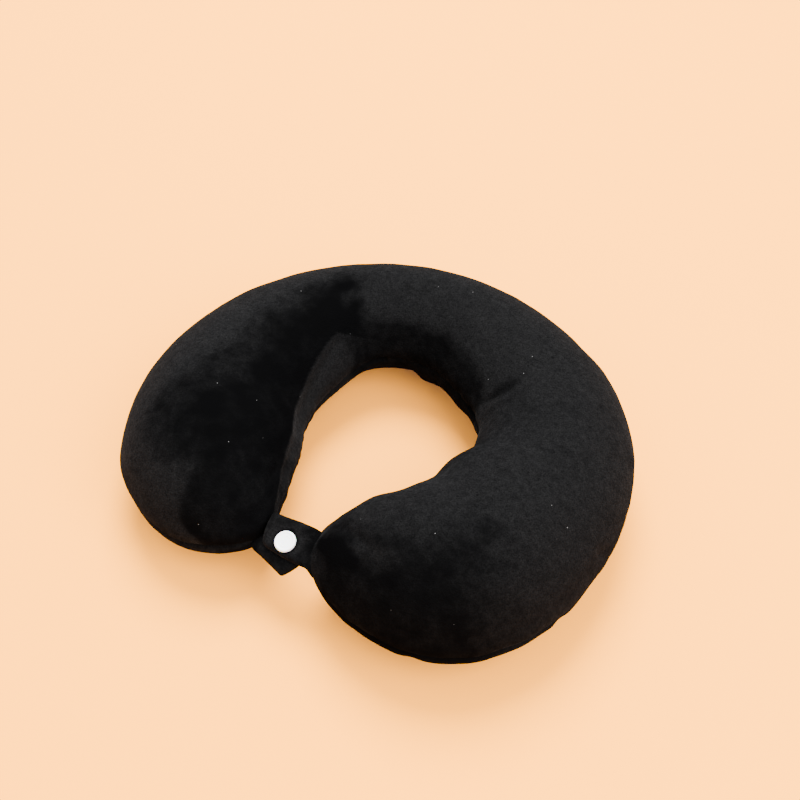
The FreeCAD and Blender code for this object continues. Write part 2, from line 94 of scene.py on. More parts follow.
# Along each arm: angles in degrees, half widths and how far the middle line leaves the bend circle in mm.
# "ends" are the angles where the lobe starts to round off and where it closes.  "rise" is the height of
# the lobe's crown over the nape's seam, "blunt" how squarely the lobe closes, and "sag" how far its seam
# hangs below the nape's seam.
LEFT = dict(
    marks=(0, 36, 60, 90, 122, 145, 165),
    widths=(36.6, 36.3, 44.2, 49.3, 52.3, 52.2, 54.0),
    shifts=(1.4, 3.5, 0.7, 1.1, 2.6, 2.6, -0.2),
    ends=(129, 170), rise=41.3, blunt=1.6, sag=6.0,
)
RIGHT = dict(
    marks=(0, 18, 36, 60, 78, 98, 115, 140, 155, 165),
    widths=(37.0, 39.9, 41.8, 43.7, 47.4, 53.7, 54.7, 52.8, 53.2, 53.2),
    shifts=(1.0, -1.6, 0.2, 1.7, 0.6, -1.2, 2.7, -0.1, -8.1, -10.3),
    ends=(127, 172), rise=46, blunt=1.7, sag=4.2,
)
NAPE_RISE = 34.9
UNDERCUT = 0.22                     # how much narrower the section is at the floor


def smooth(x):
    x = np.clip(x, 0.0, 1.0)
    return x * x * (3.0 - 2.0 * x)


def bell(distance, width):
    return np.exp(-(distance / width) ** 2)


def full_turn(count):
    return np.linspace(0, 2 * math.pi, count, endpoint=False)


def with_height(flat, height):
    """(x, y) rows with a height, which may be one number or a number for each row."""
    return np.concatenate([flat, np.full((len(flat), 1), height)], axis=1)


def through(marks, values, at):
    """A smooth curve through (mark, value) pairs, read at some places; values may be rows of an array."""
    marks = np.asarray(marks, float)
    values = np.asarray(values, float)
    slope = np.gradient(values, marks, axis=0)
    at = np.clip(at, marks[0], marks[-1])
    i = np.clip(np.searchsorted(marks, at) - 1, 0, len(marks) - 2)
    step = marks[i + 1] - marks[i]
    s = (at - marks[i]) / step
    spare = (1,) * (values.ndim - 1)
    s, step = s.reshape(s.shape + spare), step.reshape(step.shape + spare)
    value_part = (1 + 2 * s) * (1 - s) ** 2 * values[i] + s * s * (3 - 2 * s) * values[i + 1]
    slope_part = step * (s * (1 - s) ** 2 * slope[i] + s * s * (s - 1) * slope[i + 1])
    return value_part + slope_part


# ---------------------------------------------------------------- noise
def lattice_noise(points, scale, seed):
    """Smooth value noise from -1 to 1; scale is the size of its lumps."""
    p = points.reshape(-1, 3) / scale + 1000.0
    cell = np.floor(p).astype(np.int64)
    part = p - cell
    part = part * part * (3.0 - 2.0 * part)
    total = np.zeros(len(p))
    for dx in (0, 1):
        for dy in (0, 1):
            for dz in (0, 1):
                key = (cell[:, 0] + dx) * 73856093 ^ (cell[:, 1] + dy) * 19349663
                key = key ^ (cell[:, 2] + dz) * 83492791 ^ seed * 2654435761
                key = (key ^ (key >> 13)) * 1274126177 & 0x7FFFFFFF
                key = (key ^ (key >> 16)) & 0xFFFFFF
                value = key / 0xFFFFFF * 2.0 - 1.0
                wx = part[:, 0] if dx else 1.0 - part[:, 0]
                wy = part[:, 1] if dy else 1.0 - part[:, 1]
                wz = part[:, 2] if dz else 1.0 - part[:, 2]
                total += value * wx * wy * wz
    return total.reshape(points.shape[:-1])


def layered_noise(points, scale, seed, layers=3):
    total = 0.0
    for layer in range(layers):
        total = total + lattice_noise(points, scale / 2 ** layer, seed + 17 * layer) / 2 ** layer
    return total


# ---------------------------------------------------------------- body shape
def arm_values(arm, degrees):
    """Half width, shift, rise, share of the section that is left and sag of the seam, along one arm."""
    starts, closes = arm["ends"]
    t = np.clip((degrees - starts) / (closes - starts), 0.0, 1.0)
    left = (1.0 - t ** arm["blunt"]) ** (1.0 / arm["blunt"])
    grow = smooth((degrees - 34) / 88)
    width = through(arm["marks"], arm["widths"], degrees) * MM
    shift = through(arm["marks"], arm["shifts"], degrees) * MM
    rise = (NAPE_RISE + (arm["rise"] - NAPE_RISE) * grow) * MM
    sag = arm["sag"] * MM * smooth((degrees - 45) / 45) * smooth((172 - degrees) / 20)
    return width, shift, rise, left, sag


def body_point(theta, phi, inset=0.0):
    """A point of the stuffed body's skin, or of a skin that lies deeper by the inset."""
    degrees = np.degrees(np.abs(theta))
    left_arm = arm_values(LEFT, degrees)
    right_arm = arm_values(RIGHT, degrees)
    width, shift, rise, left, sag = (np.where(theta < 0, a, b) for a, b in zip(left_arm, right_arm))
    across = np.maximum(width * left - inset, 0.0)
    up = np.maximum((rise + sag) * left - inset, 0.0)
    down = np.maximum((DROP - sag) * left - inset, 0.0)
    c, s = np.cos(phi), np.sin(phi)
    outer_share = smooth((degrees - 36) / 20)
    full_inside = smooth((58 - degrees) / 15) * smooth((np.degrees(theta) + 21) / 9)
    inner_share = (1.3 - 0.3 * smooth((degrees - 62) / 14)) * (1.0 - 1.25 * full_inside)
    undercut = UNDERCUT * np.where(c > 0, outer_share, inner_share)
    radius = BEND + shift + across * c * (1.0 + undercut * np.minimum(s, 0.0))
    # round the zipper the skin keeps to the tapes' circle
    held = smooth((SLOT_ANGLE + 9 - degrees) / 8)
    radius -= (shift + width - NAPE_HALF) * held * np.maximum(c, 0.0) ** 5
    z = SEAM - sag + np.where(s > 0, up, down) * s
    return np.stack([radius * np.sin(theta), AXIS.y + radius * np.cos(theta), z], -1)


def arm_stations(spacing, inset=0.0):
    """Angles along both arms, close together where the arms round off."""
    halves = []
    for arm in (LEFT, RIGHT):
        starts, closes = (math.radians(angle) for angle in arm["ends"])
        closes -= 0.8 * inset / BEND
        straight = int(BEND * starts / spacing)
        rounded = int(1.4 * BEND * (closes - starts) / spacing)
        main = np.linspace(0.0, starts, straight, endpoint=False)
        turn = np.linspace(0.0, math.pi / 2, rounded + 1)
        halves.append(np.concatenate([main, starts + (closes - starts) * np.sin(turn)]))
    return np.concatenate([-halves[0][::-1], halves[1][1:]])


# ---------------------------------------------------------------- mesh helpers
def new_object(name, data):
    obj = bpy.data.objects.new(name, data)
    bpy.context.scene.collection.objects.link(obj)
    return obj


def mesh_object(name, points, faces, nap_and_painted_shading=None, outwards=False):
    mesh = bpy.data.meshes.new(name)
    mesh.from_pydata(np.asarray(points).reshape(-1, 3).tolist(), [], faces)
    # the attribute holds the pile's tone with painted light and shade in it
    if nap_and_painted_shading is not None:
        mesh.attributes.new("nap_and_painted_shading", "FLOAT", "POINT").data.foreach_set("value", nap_and_painted_shading.ravel().astype(np.float32))
    graph = bmesh.new()
    graph.from_mesh(mesh)
    bmesh.ops.remove_doubles(graph, verts=graph.verts, dist=0.002 * MM)
    bmesh.ops.dissolve_degenerate(graph, edges=graph.edges, dist=0.001 * MM)
    if outwards:
        bmesh.ops.recalc_face_normals(graph, faces=graph.faces)
    graph.to_mesh(mesh)
    graph.free()
    mesh.polygons.foreach_set("use_smooth", [True] * len(mesh.polygons))
    mesh.update()
    return new_object(name, mesh)


def grid_faces(rows, columns, wrap_rows=False, wrap_columns=False, flip=False):
    index = np.arange(rows * columns).reshape(rows, columns)
    if wrap_rows:
        index = np.concatenate([index, index[:1]], 0)
    if wrap_columns:
        index = np.concatenate([index, index[:, :1]], 1)
    a, b = index[:-1, :-1].ravel(), index[1:, :-1].ravel()
    c, d = index[1:, 1:].ravel(), index[:-1, 1:].ravel()
    return np.stack([a, d, c, b] if flip else [a, b, c, d], -1).tolist()


def lofted(loops, ends):
    """Points and faces over a row of closed loops, joined end to end for "ring" or capped for "fan"."""
    loops = np.asarray(loops)
    rows, columns = loops.shape[:2]
    faces = grid_faces(rows, columns, wrap_rows=ends == "ring", wrap_columns=True)
    points = loops.reshape(-1, 3)
    if ends == "fan":
        middles = [loops[0].mean(axis=0), loops[-1].mean(axis=0)]
        start, last = len(points), (rows - 1) * columns
        points = np.concatenate([points, middles])
        for k in range(columns):
            after = (k + 1) % columns
            faces.append([start, k, after])
            faces.append([start + 1, last + after, last + k])
    return points, faces


def joined(name, parts, nap_and_painted_shading=None):
    """One object from several (points, faces) pairs, with its faces turned outwards."""
    points, faces, first = [], [], 0
    for part_points, part_faces in parts:
        points.append(part_points)
        faces += [[first + corner for corner in face] for face in part_faces]
        first += len(part_points)
    return mesh_object(name, np.concatenate(points), faces, nap_and_painted_shading, outwards=True)


def rounded_line(corners, closed=True, steps=6):
    """A path through (x, y, cut) corners, each corner rounded over the length of its cut."""
    path = []
    count = len(corners)
    for i, (x, y, cut) in enumerate(corners):
        here = np.array([x, y], float)
        if cut == 0 or (not closed and i in (0, count - 1)):
            path.append(here)
            continue
        before = np.array(corners[i - 1][:2], float) - here
        after = np.array(corners[(i + 1) % count][:2], float) - here
        first = here + before / np.linalg.norm(before) * min(cut, 0.49 * np.linalg.norm(before))
        last = here + after / np.linalg.norm(after) * min(cut, 0.49 * np.linalg.norm(after))
        for s in np.linspace(0, 1, steps):
            path.append((1 - s) ** 2 * first + 2 * s * (1 - s) * here + s * s * last)
    return np.array(path)


def mirrored(half):
    """A closed outline from the half that lies on one side of the x axis."""
    return half + [(x, -y, *cut) for x, y, *cut in reversed(half)]


def even_outline(corners, count):
    """A closed outline with its points evenly spaced."""
    path = rounded_line(corners, steps=12)
    path = np.concatenate([path, path[:1]])
    run = np.concatenate([[0], np.cumsum(np.linalg.norm(np.diff(path, axis=0), axis=1))])
    at = np.linspace(0, run[-1], count, endpoint=False)
    return np.stack([np.interp(at, run, path[:, k]) for k in (0, 1)], -1)


def tube(path, radius, sides=8, closed=False):
    """Loops round a path; the radius may change along it."""
    path = np.asarray(path)
    if closed:
        along = np.roll(path, -1, axis=0) - np.roll(path, 1, axis=0)
    else:
        along = np.gradient(path, axis=0)
    along /= np.linalg.norm(along, axis=1, keepdims=True)
    side = np.cross(along[0], (0.3, 0.2, 1.0))
    loops = []
    radii = np.broadcast_to(radius, len(path))
    turn = full_turn(sides)
    for point, direction, size in zip(path, along, radii):
        side = side - direction * side.dot(direction)
        side /= np.linalg.norm(side)
        other = np.cross(direction, side)
        loops.append(point + size * (np.outer(np.cos(turn), side) + np.outer(np.sin(turn), other)))
    return lofted(loops, "ring" if closed else "fan")


def thickened(obj, thickness):
    """Gives a skin the thickness of its cloth, towards the inside."""
    thick = obj.modifiers.new("thick", "SOLIDIFY")
    thick.thickness = thickness
    thick.offset = -1
    graph = bpy.context.evaluated_depsgraph_get()
    mesh = bpy.data.meshes.new_from_object(obj.evaluated_get(graph))
    old = obj.data
    obj.modifiers.clear()
    obj.data = mesh
    bpy.data.meshes.remove(old)


def belongs(obj, body, slot, *nodes):
    """The piece rides on the body and stands for the CAD nodes, which it hides; the slot is not used."""
    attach(obj, body)
    if nodes:
        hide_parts(*nodes)
    return obj


# ---------------------------------------------------------------- cloth simulation of the cover
SIM_SPACING = 5.5 * MM
SIM_COLUMNS = 56
SIM_START_INSET = 1.2 * MM
SIM_CAP = 2.0 * MM                  # furthest that the cloth may move the skin
SIM_FRAMES = 20


def simulated_puff():
    """Blows up a coarse cover whose seam is drawn tight, and returns how far each grid point moved."""
    theta = arm_stations(SIM_SPACING)
    theta = theta[2:-2]
    phi = full_turn(SIM_COLUMNS)
    t, p = np.meshgrid(theta, phi, indexing="ij")
    start = body_point(t, np.where(p > math.pi, p - 2 * math.pi, p), SIM_START_INSET)
    points, faces = lofted(start, "fan")
    mesh = bpy.data.meshes.new("cover_cloth")
    mesh.from_pydata(points.tolist(), [], faces)
    cloth_cover = new_object("cover_cloth", mesh)
    column = np.arange(SIM_COLUMNS)
    off_seam = np.minimum(np.minimum(column, SIM_COLUMNS - column), np.abs(column - SIM_COLUMNS // 2))
    on_seam = np.tile(bell(off_seam, 1.2), len(theta))
    firm = cloth_cover.vertex_groups.new(name="held_by_foam")
    tight = cloth_cover.vertex_groups.new(name="drawn_in")
    for index, share in enumerate(on_seam):
        firm.add([index], 0.25 + 0.55 * float(share), "REPLACE")
        tight.add([index], float(share), "REPLACE")
    for index in range(len(on_seam), len(points)):
        firm.add([index], 1.0, "REPLACE")
    modifier = cloth_cover.modifiers.new("cloth", "CLOTH")
    settings = dict(
        quality=6, mass=0.25, tension_stiffness=18, compression_stiffness=18, shear_stiffness=6,
        bending_stiffness=3.0, air_damping=2, use_pressure=True, uniform_pressure_force=4,
        vertex_group_mass="held_by_foam", pin_stiffness=1.0,
        vertex_group_shrink="drawn_in", shrink_min=0.0, shrink_max=0.05,
    )
    for key, value in settings.items():
        setattr(modifier.settings, key, value)
    modifier.settings.effector_weights.gravity = 0
    modifier.point_cache.frame_start = 1
    modifier.point_cache.frame_end = SIM_FRAMES
    for number in range(1, SIM_FRAMES + 1):
        bpy.context.scene.frame_set(number)
    graph = bpy.context.evaluated_depsgraph_get()
    moved = cloth_cover.evaluated_get(graph).to_mesh()
    end = np.array([vertex.co for vertex in moved.vertices])[: len(on_seam)].reshape(start.shape)
    bpy.context.scene.frame_set(1)
    bpy.data.objects.remove(cloth_cover)
    shift = end - start
    shift -= shift.mean(axis=(0, 1), keepdims=True)
    for _ in range(3):
        shift = (np.roll(shift, 1, axis=1) + 2 * shift + np.roll(shift, -1, axis=1)) / 4
        shift[1:-1] = (shift[:-2] + 2 * shift[1:-1] + shift[2:]) / 4
    length = np.linalg.norm(shift, axis=-1, keepdims=True)
    shift *= np.minimum(1.0, SIM_CAP / np.maximum(length, 1e-9))
    return theta, np.append(phi, 2 * math.pi), np.concatenate([shift, shift[:, :1]], axis=1)


PUFF = simulated_puff()


def puff(t, p):
    """The simulated movement at a regular grid of theta rows and phi columns."""
    if PUFF is None:
        return np.zeros(t.shape + (3,))
    theta, phi, shift = PUFF
    rows = through(theta, shift, t[:, 0])
    columns = np.mod(p[0], 2 * math.pi)
    if p[0, -1] > 6:
        columns = np.clip(p[0], 0, 2 * math.pi)
    both = through(phi, np.swapaxes(rows, 0, 1), columns)
    fade = smooth((arm_left(t) - 0.1) / 0.3)[..., None]
    return np.swapaxes(both, 0, 1) * fade


def arm_left(t):
    degrees = np.degrees(np.abs(t))
    return np.where(t < 0, arm_values(LEFT, degrees)[3], arm_values(RIGHT, degrees)[3])


# ---------------------------------------------------------------- seam, lumps and creases of the skin
def segment_distance(theta, phi, crease):
    """Distance in metres over the skin from a crease between two (theta, phi) places in degrees."""
    (t0, p0), (t1, p1) = crease
    scale = np.array([BEND, 45 * MM])
    here = np.stack([theta, phi], -1) * scale
    first = np.radians([t0, p0]) * scale
    last = np.radians([t1, p1]) * scale
    run = last - first
    share = np.clip(((here - first) @ run) / (run @ run), 0, 1)
    return np.linalg.norm(here - first - share[..., None] * run, axis=-1), share


# Creases: two ends (theta, phi), how far they sink (negative stands up) and how wide they are, in mm.
CREASES = [
    (((44, 158), (47.5, 122)), 1.6, 3.2),
    (((50.5, 160), (52, 128)), -0.7, 3.0),
    (((-43, 112), (-45, 130)), 0.8, 2.4),
    (((-40, 108), (-41, 128)), -0.6, 2.2),
    (((-16, 104), (-11, 122)), 0.7, 2.6),
    (((-52, 92), (-47, 100)), 0.9, 3.0),
    (((79, 62), (70, 16)), 0.7, 2.2),
    (((67, 16), (72, 30)), -1.0, 4.5),
    (((93, 4), (97, 24)), 1.2, 2.4),
    (((-128, 70), (-112, 74)), 0.5, 3.4),
    (((150, 70), (163, 95)), 0.9, 3.6),
    (((-162, 120), (-150, 160)), 0.9, 3.4),
    (((128, 168), (118, 150)), 0.7, 3.0),
    (((15, 196), (24, 168)), 0.6, 3.0),
    (((-20, 200), (-27, 172)), 0.6, 3.0),
    (((108, -20), (113, 8)), 1.0, 2.6),
    (((-96, -18), (-101, 10)), 1.0, 2.6),
    (((140, -30), (143, 0)), 1.0, 3.0),
]
# The ridge that runs along the inner side of the left arm: places (theta, phi) along its crest.
RIDGE_THETA = (-166, -148, -122, -94, -71, -58)
RIDGE_PHI = (146, 153, 155.5, 152.5, 141.5, 134)


def slot_share(theta):
    """1 where the seam is open for the zipper, 0 where it is sewn."""
    return smooth((SLOT_ANGLE - np.degrees(np.abs(theta))) / 1.1)


def near_zipper(points, theta):
    """1 on the skin round the zipper, which is held flat by its tapes."""
    along = smooth((SLOT_ANGLE + 5 - np.degrees(np.abs(theta))) / 5)
    across = smooth((17 * MM - np.abs(points[..., 2] - SEAM)) / (6 * MM))
    outside = np.hypot(points[..., 0], points[..., 1] - AXIS.y) > BEND
    return along * across * outside


def grid_normals(points):
    along = np.gradient(points, axis=0)
    across = np.gradient(points, axis=1)
    normal = np.cross(across, along)
    length = np.linalg.norm(normal, axis=-1, keepdims=True)
    normal = normal / np.maximum(length, 1e-12)
    normal[0], normal[-1] = normal[2].mean(axis=0), normal[-3].mean(axis=0)
    return normal


def dressed(t, p, points, to_seam):
    """Moves skin points by the seam's pull, puckers, lumps, creases and the simulated puff."""
    normal = grid_normals(points)
    middle = body_point(t, np.zeros_like(p), 1.0)
    if np.sum((points - middle) * normal) < 0:
        normal = -normal
    slot = slot_share(t)
    inner_side = (np.cos(p) < 0).astype(float)
    line = np.stack([t * BEND, inner_side * 0.5, np.zeros_like(t)], -1)
    pull = (1 - slot) * 2.8 * bell(to_seam, 1.7 * MM)
    plump = 0.4 + 1.1 * bell(to_seam - 7 * MM, 6 * MM)
    pull += slot * 0.45 * bell(to_seam, 1.2 * MM)
    pucker = 0.55 * (1 - slot) * layered_noise(line, 9 * MM, SEED + 3, 2) * bell(to_seam, 7 * MM)
    lumps = 0.75 * lattice_noise(points, 46 * MM, SEED) + 0.32 * layered_noise(points, 17 * MM, SEED + 5, 2)
    height = -pull + (plump + lumps + pucker) * (1 - near_zipper(points, t))
    stitch_off = np.abs(points[..., 2] - SEAM) - STITCH_ROW
    groove = 0.55 * bell(stitch_off, 0.8 * MM) * slot
    outer = np.cos(p) > 0
    height -= groove * outer
    for ends, depth, width in CREASES:
        distance, share = segment_distance(t, p, ends)
        middle_share = smooth(4 * share * (1 - share))
        height -= depth * bell(distance, width * MM) * (0.35 + 0.65 * middle_share)
    crest = np.radians(through(RIDGE_THETA, RIDGE_PHI, np.degrees(t)))
    inside = smooth((np.degrees(-t) - 52) / 10) * smooth((168 + np.degrees(t)) / 10)
    off_crest = (p - crest) * 45 * MM
    height += 0.9 * bell(off_crest, 3.2 * MM) * inside
    height -= 0.9 * bell(off_crest - 7 * MM, 5 * MM) * inside
    fade = smooth(arm_left(t) / 0.25)
    moved = points + normal * (height * MM * fade)[..., None]
    calm = (1 - near_zipper(points, t))[..., None]
    return moved + puff(t, p) * calm


def panel_skin(top, spacing, columns, inset):
    """The (theta, phi) grid of one panel and its dressed points at some depth."""
    theta = arm_stations(spacing, inset)
    u = np.linspace(0.0, 1.0, columns)
    u = u - 0.65 * np.sin(2 * math.pi * u) / (2 * math.pi)
    t, u = np.meshgrid(theta, u, indexing="ij")
    reach = np.where(top, NAPE_RISE * MM, DROP)
    lips = np.arcsin(SLOT_HALF / reach) * slot_share(t)
    p = lips + (math.pi - lips) * u
    if not top:
        p = -p
    points = body_point(t, p, inset)
    step = np.linalg.norm(np.diff(points, axis=1), axis=-1)
    run = np.concatenate([np.zeros((len(t), 1)), np.cumsum(step, axis=1)], axis=1)
    to_seam = np.minimum(run, run[:, -1:] - run)
    moved = dressed(t, p, points, to_seam)
    moved[..., 2] = np.maximum(moved[..., 2], inset)
    return t, p, moved


# ---------------------------------------------------------------- how the pile lies, with painted light and shade
def soft_patch(t, p, middle, reach, edge):
    """1 inside an oval patch of pile, 0 outside, with a soft edge; angles in degrees."""
    along = (t - middle[0]) / reach[0]
    across = (p - middle[1]) / reach[1]
    return smooth((1 + edge - np.sqrt(along ** 2 + across ** 2)) / (2 * edge))


# Patches where the pile was stroked, and one of painted shade: middle and reach (theta, phi), softness of the
# edge, and how much lighter the patch is.
PATCHES = [
    ((-155, -1), (8, 9), 0.6, -0.30),
    ((150, 66), (7, 8), 0.45, 0.24),
    ((158, 24), (6, 24), 0.45, 0.12),
    ((161, 80), (4, 24), 0.45, -0.40),
    ((162, 118), (4, 22), 0.45, -0.20),
    ((123, 79), (5, 8), 0.45, -0.24),
    ((145, 80), (7, 8), 0.45, -0.16),
    ((-46, 86), (7, 9), 0.7, -0.12),
    ((-49, 107), (5, 9), 0.5, 0.34),
    ((60, 130), (22, 26), 0.8, -0.10),
    # painted shade on the inside of the right lobe, where the key light falls
    ((90, 154), (24, 18), 0.8, -0.26),
]


def pile_lie_and_painted_shading(t, p, points):
    """Tone of the pile from 0, darkest, to 1, lightest: how it lies, with painted light and shade laid in, so
    lit places are stored as lighter pile and shaded ones as darker.
    """
    warp_t = 5.0 * layered_noise(points, 24 * MM, SEED + 31, 3)
    warp_p = 7.0 * layered_noise(points, 20 * MM, SEED + 37, 3)
    a, b = np.degrees(t), np.degrees(p)
    aw, bw = a + warp_t, b + warp_p
    lie_and_painted_shading = np.full(t.shape, 0.86)
    # the inside of the nape, darker: painted shade on the inner wall, which faces away from the light
    low_edge = through((-62, -44, -27, -12, 17, 33, 40, 52), (118, 126, 130, 134, 134, 138, 150, 172), aw)
    nape_wall_shade = smooth((bw - low_edge) / 14) * smooth((aw + 61) / 8) * smooth((50 - aw) / 14)
    # the broad dark stroke along the top of the left arm, with the crisp ridge as its inner edge
    crest = through(RIDGE_THETA, RIDGE_PHI, a)
    crest = np.where(a > RIDGE_THETA[-1], 134 + 1.2 * (a - RIDGE_THETA[-1]), crest)
    short_of_crest = smooth((crest - b) / 3 + 0.5)
    edge_marks = (-165, -160, -155, -150, -137, -127, -118, -110, -90, -76, -62, -51, -42)
    grey_edge = through(edge_marks, (-10, 15, 38, 57, 56, 58, 64, 78, 93, 91, 86, 72, 82), aw)
    dark_edge = through(edge_marks, (0, 24, 48, 67, 74, 91, 108, 110, 108, 103, 96, 80, 92), aw)
    ends_at = smooth((-40 - aw) / 8)
    grey_stroke = smooth((bw - grey_edge) / 18 + 0.5) * short_of_crest * ends_at
    dark_stroke = smooth((bw - dark_edge) / 20 + 0.5) * short_of_crest * ends_at
    dark_stroke *= 1 - 0.4 * smooth((-146 - a) / 12)
    lie_and_painted_shading -= np.maximum(0.62 * nape_wall_shade, 0.56 * grey_stroke + 0.30 * dark_stroke)
    # under the ridge, the left arm's inner wall, which faces the light from the right: painted lighter as
    # painted light, and darker again towards the left lobe
    lit_inner_strip = smooth((b - crest) / 3 + 0.5) * smooth((190 - bw) / 16) * smooth((-56 - a) / 8)
    lie_and_painted_shading += 0.13 * lit_inner_strip
    lie_and_painted_shading -= 0.42 * smooth((-138 - aw) / 12) * lit_inner_strip
    # the front of the right lobe: a dark heart, greyer round it
    heart = smooth((aw - 120) / 15) * smooth((82 - bw) / 22)
    round_it = smooth((aw - 109) / 18) * smooth((96 - bw) / 20)
    lie_and_painted_shading -= 0.37 * heart + 0.28 * round_it
    lie_and_painted_shading += 0.30 * smooth((aw - 164) / 4) * smooth((110 - bw) / 20)
    # the top of the right arm, painted shade along its crease, and the patches
    lie_and_painted_shading -= 0.09 * smooth((aw - 42) / 24)
    lie_and_painted_shading -= 0.45 * soft_patch(a, b, (46, 134), (3.5, 14), 0.5)
    for middle, reach, edge, lighter in PATCHES:
        lie_and_painted_shading += lighter * soft_patch(aw, bw, middle, reach, edge)
    # the underside: darker all round, darker still towards the left lobe, and darker in patches
    below = smooth((-bw - 5) / 20)
    lie_and_painted_shading = lie_and_painted_shading * (1 - below) + (0.45 - 0.27 * smooth((-100 - a) / 20)) * below
    mottle = layered_noise(points, 9 * MM, SEED + 41, 3)
    broad = layered_noise(points, 42 * MM, SEED + 43, 2)
    patchy = 0.05 + 0.12 * grey_stroke * (1 - 0.6 * dark_stroke) + 0.06 * round_it + 0.05 * nape_wall_shade
    lie_and_painted_shading += patchy * mottle + 0.04 * broad
    lie_and_painted_shading -= 0.35 * below * smooth(broad + 0.2)
    return np.clip(lie_and_painted_shading, 0.0, 1.1)


# ---------------------------------------------------------------- cover, liner and foam
PANEL_SPACING = 1.5 * MM
PANEL_COLUMNS = 124


def cover_panel(name, top, node):
    t, p, points = panel_skin(top, PANEL_SPACING, PANEL_COLUMNS, 0.0)
    shown_phi = np.where(top, p, np.where(p < -math.pi / 2 - 0.6, p + 2 * math.pi, p))
    # the pile's tone, with painted light and shade in it
    nap_and_painted_shading = pile_lie_and_painted_shading(t, shown_phi, points)
    obj = mesh_object(name, points, grid_faces(*t.shape, flip=top), nap_and_painted_shading)
    thickened(obj, CLOTH)
    return belongs(obj, "pillow", "plush", node)


def liner_panel(name, top, node):
    t, _, points = panel_skin(top, 3.2 * MM, 50, LINER_DEPTH)
    obj = mesh_object(name, points, grid_faces(*t.shape, flip=top))
    thickened(obj, LINER_CLOTH)
    return belongs(obj, "pillow", "lining", node)


def foam_block():
    theta = arm_stations(4 * MM, FOAM_DEPTH)[1:-1]
    phi = full_turn(64)
    t, p = np.meshgrid(theta, phi, indexing="ij")
    points = body_point(t, np.where(p > math.pi, p - 2 * math.pi, p), FOAM_DEPTH + 1.5 * MM)
    points[..., 2] = np.maximum(points[..., 2], FOAM_DEPTH)
    foam = joined("moulded_foam_core", [lofted(points, "fan")])
    return belongs(foam, "pillow", "foam", "foam_core")


cover_top = cover_panel("cover_top_plush", True, "cover_top_panel")
cover_bottom = cover_panel("cover_bottom_plush", False, "cover_bottom_panel")
liner_top = liner_panel("liner_top_cloth", True, "liner_top_panel")
liner_bottom = liner_panel("liner_bottom_cloth", False, "liner_bottom_panel")
foam_core = foam_block()


# ---------------------------------------------------------------- seam threads
def seam_thread(name, node, slot, inset, radius):
    """A sewn thread along the outer and inner seams, as a line of stitches that dips between the holes."""
    parts = []
    theta = arm_stations(0.7 * MM, inset)
    slot_ends = math.radians(SLOT_ANGLE + 0.6)
    for phi in (0.0, math.pi):
        path = body_point(theta, np.full(len(theta), phi), inset)
        path[:, 2] += 0.12 * MM * np.cos(theta * BEND / (2.6 * MM) * 2 * math.pi)
        if phi == 0.0 and slot == "thread":
            for keep in (theta < -slot_ends, theta > slot_ends):
                parts.append(tube(path[keep], radius, 6))
        else:
            parts.append(tube(path, radius, 6))
    return belongs(joined(name, parts), "pillow", slot, node)


cover_thread = seam_thread("cover_seam_stitching", "cover_seam_thread", "thread", 4.6 * MM, 0.22 * MM)
liner_thread = seam_thread(
    "liner_seam_stitching", "liner_seam_thread", "liner_thread", LINER_DEPTH + 3.8 * MM, 0.2 * MM
)


# ---------------------------------------------------------------- zipper
def round_axis(theta, radius, height):
    """A point at an angle and radius about the bend axis and a height over the seam."""
    x, y = radius * np.sin(theta), AXIS.y + radius * np.cos(theta)
    return np.stack([x, y, SEAM + height + 0 * theta], -1)


def zipper_coil(name, side, node):
    """A continuous nylon coil: flattened turns that hook round the turns of the other coil."""
    pitch = 1.25 * MM
    turns = int(2 * math.radians(COIL_ANGLE) * COIL_OUTER / pitch)
    turn = np.linspace(0, 2 * math.pi * turns, turns * 14)
    theta = (turn / (2 * math.pi) - turns / 2) * pitch / COIL_OUTER
    theta = theta + (0.25 * side) * pitch / COIL_OUTER
    radius = COIL_OUTER - 0.55 * MM + 0.34 * MM * np.sin(turn)
    height = side * (0.90 * MM - 0.80 * MM * np.cos(turn))
    coil = joined(name, [tube(round_axis(theta, radius, height), 0.21 * MM, 6)])
    return belongs(coil, "pillow", "zip_coil", node)


STITCH_SHARE = np.linspace(-1, 1, 9)


def stitch(path, radius):
    """One stitch of thread along nine points, thinner where it dives into the cloth."""
    return tube(path, radius * np.sqrt(1.02 - STITCH_SHARE ** 6), 6)


def stitch_row(name, side, node):
    length = 2.2 * MM
    pitch = 3.0 * MM
    reach = math.radians(SLOT_ANGLE) - pitch / COIL_OUTER
    count = int(2 * reach * COIL_OUTER / pitch)
    surface = BEND + NAPE_HALF - 0.62 * MM
    parts = []
    for middle in np.linspace(-reach, reach, count):
        theta = middle + STITCH_SHARE * length / 2 / surface
        sink = 0.28 * MM * STITCH_SHARE ** 4
        parts.append(stitch(round_axis(theta, surface - sink, side * STITCH_ROW), 0.24 * MM))
    return belongs(joined(name, parts), "pillow", "thread", node)


coil_upper = zipper_coil("zipper_coil_teeth_upper", 1, "zipper_coil_upper")
coil_lower = zipper_coil("zipper_coil_teeth_lower", -1, "zipper_coil_lower")
row_upper = stitch_row("zipper_stitches_upper", 1, "zipper_stitching_upper")
row_lower = stitch_row("zipper_stitches_lower", -1, "zipper_stitching_lower")

PULL_JOINT = Vector(joints["zipper_pull_swing"]["pos_m"])
SLIDER_ANGLE = math.atan2(PULL_JOINT.x, PULL_JOINT.y - AXIS.y)
SLIDER_FRONT = COIL_OUTER + 0.1 * MM
SHIELD_THICK, PULL_RISE, PULL_HALF = 0.9, 0.75, 0.5     # mm; the pull's middle lies its rise over the shield


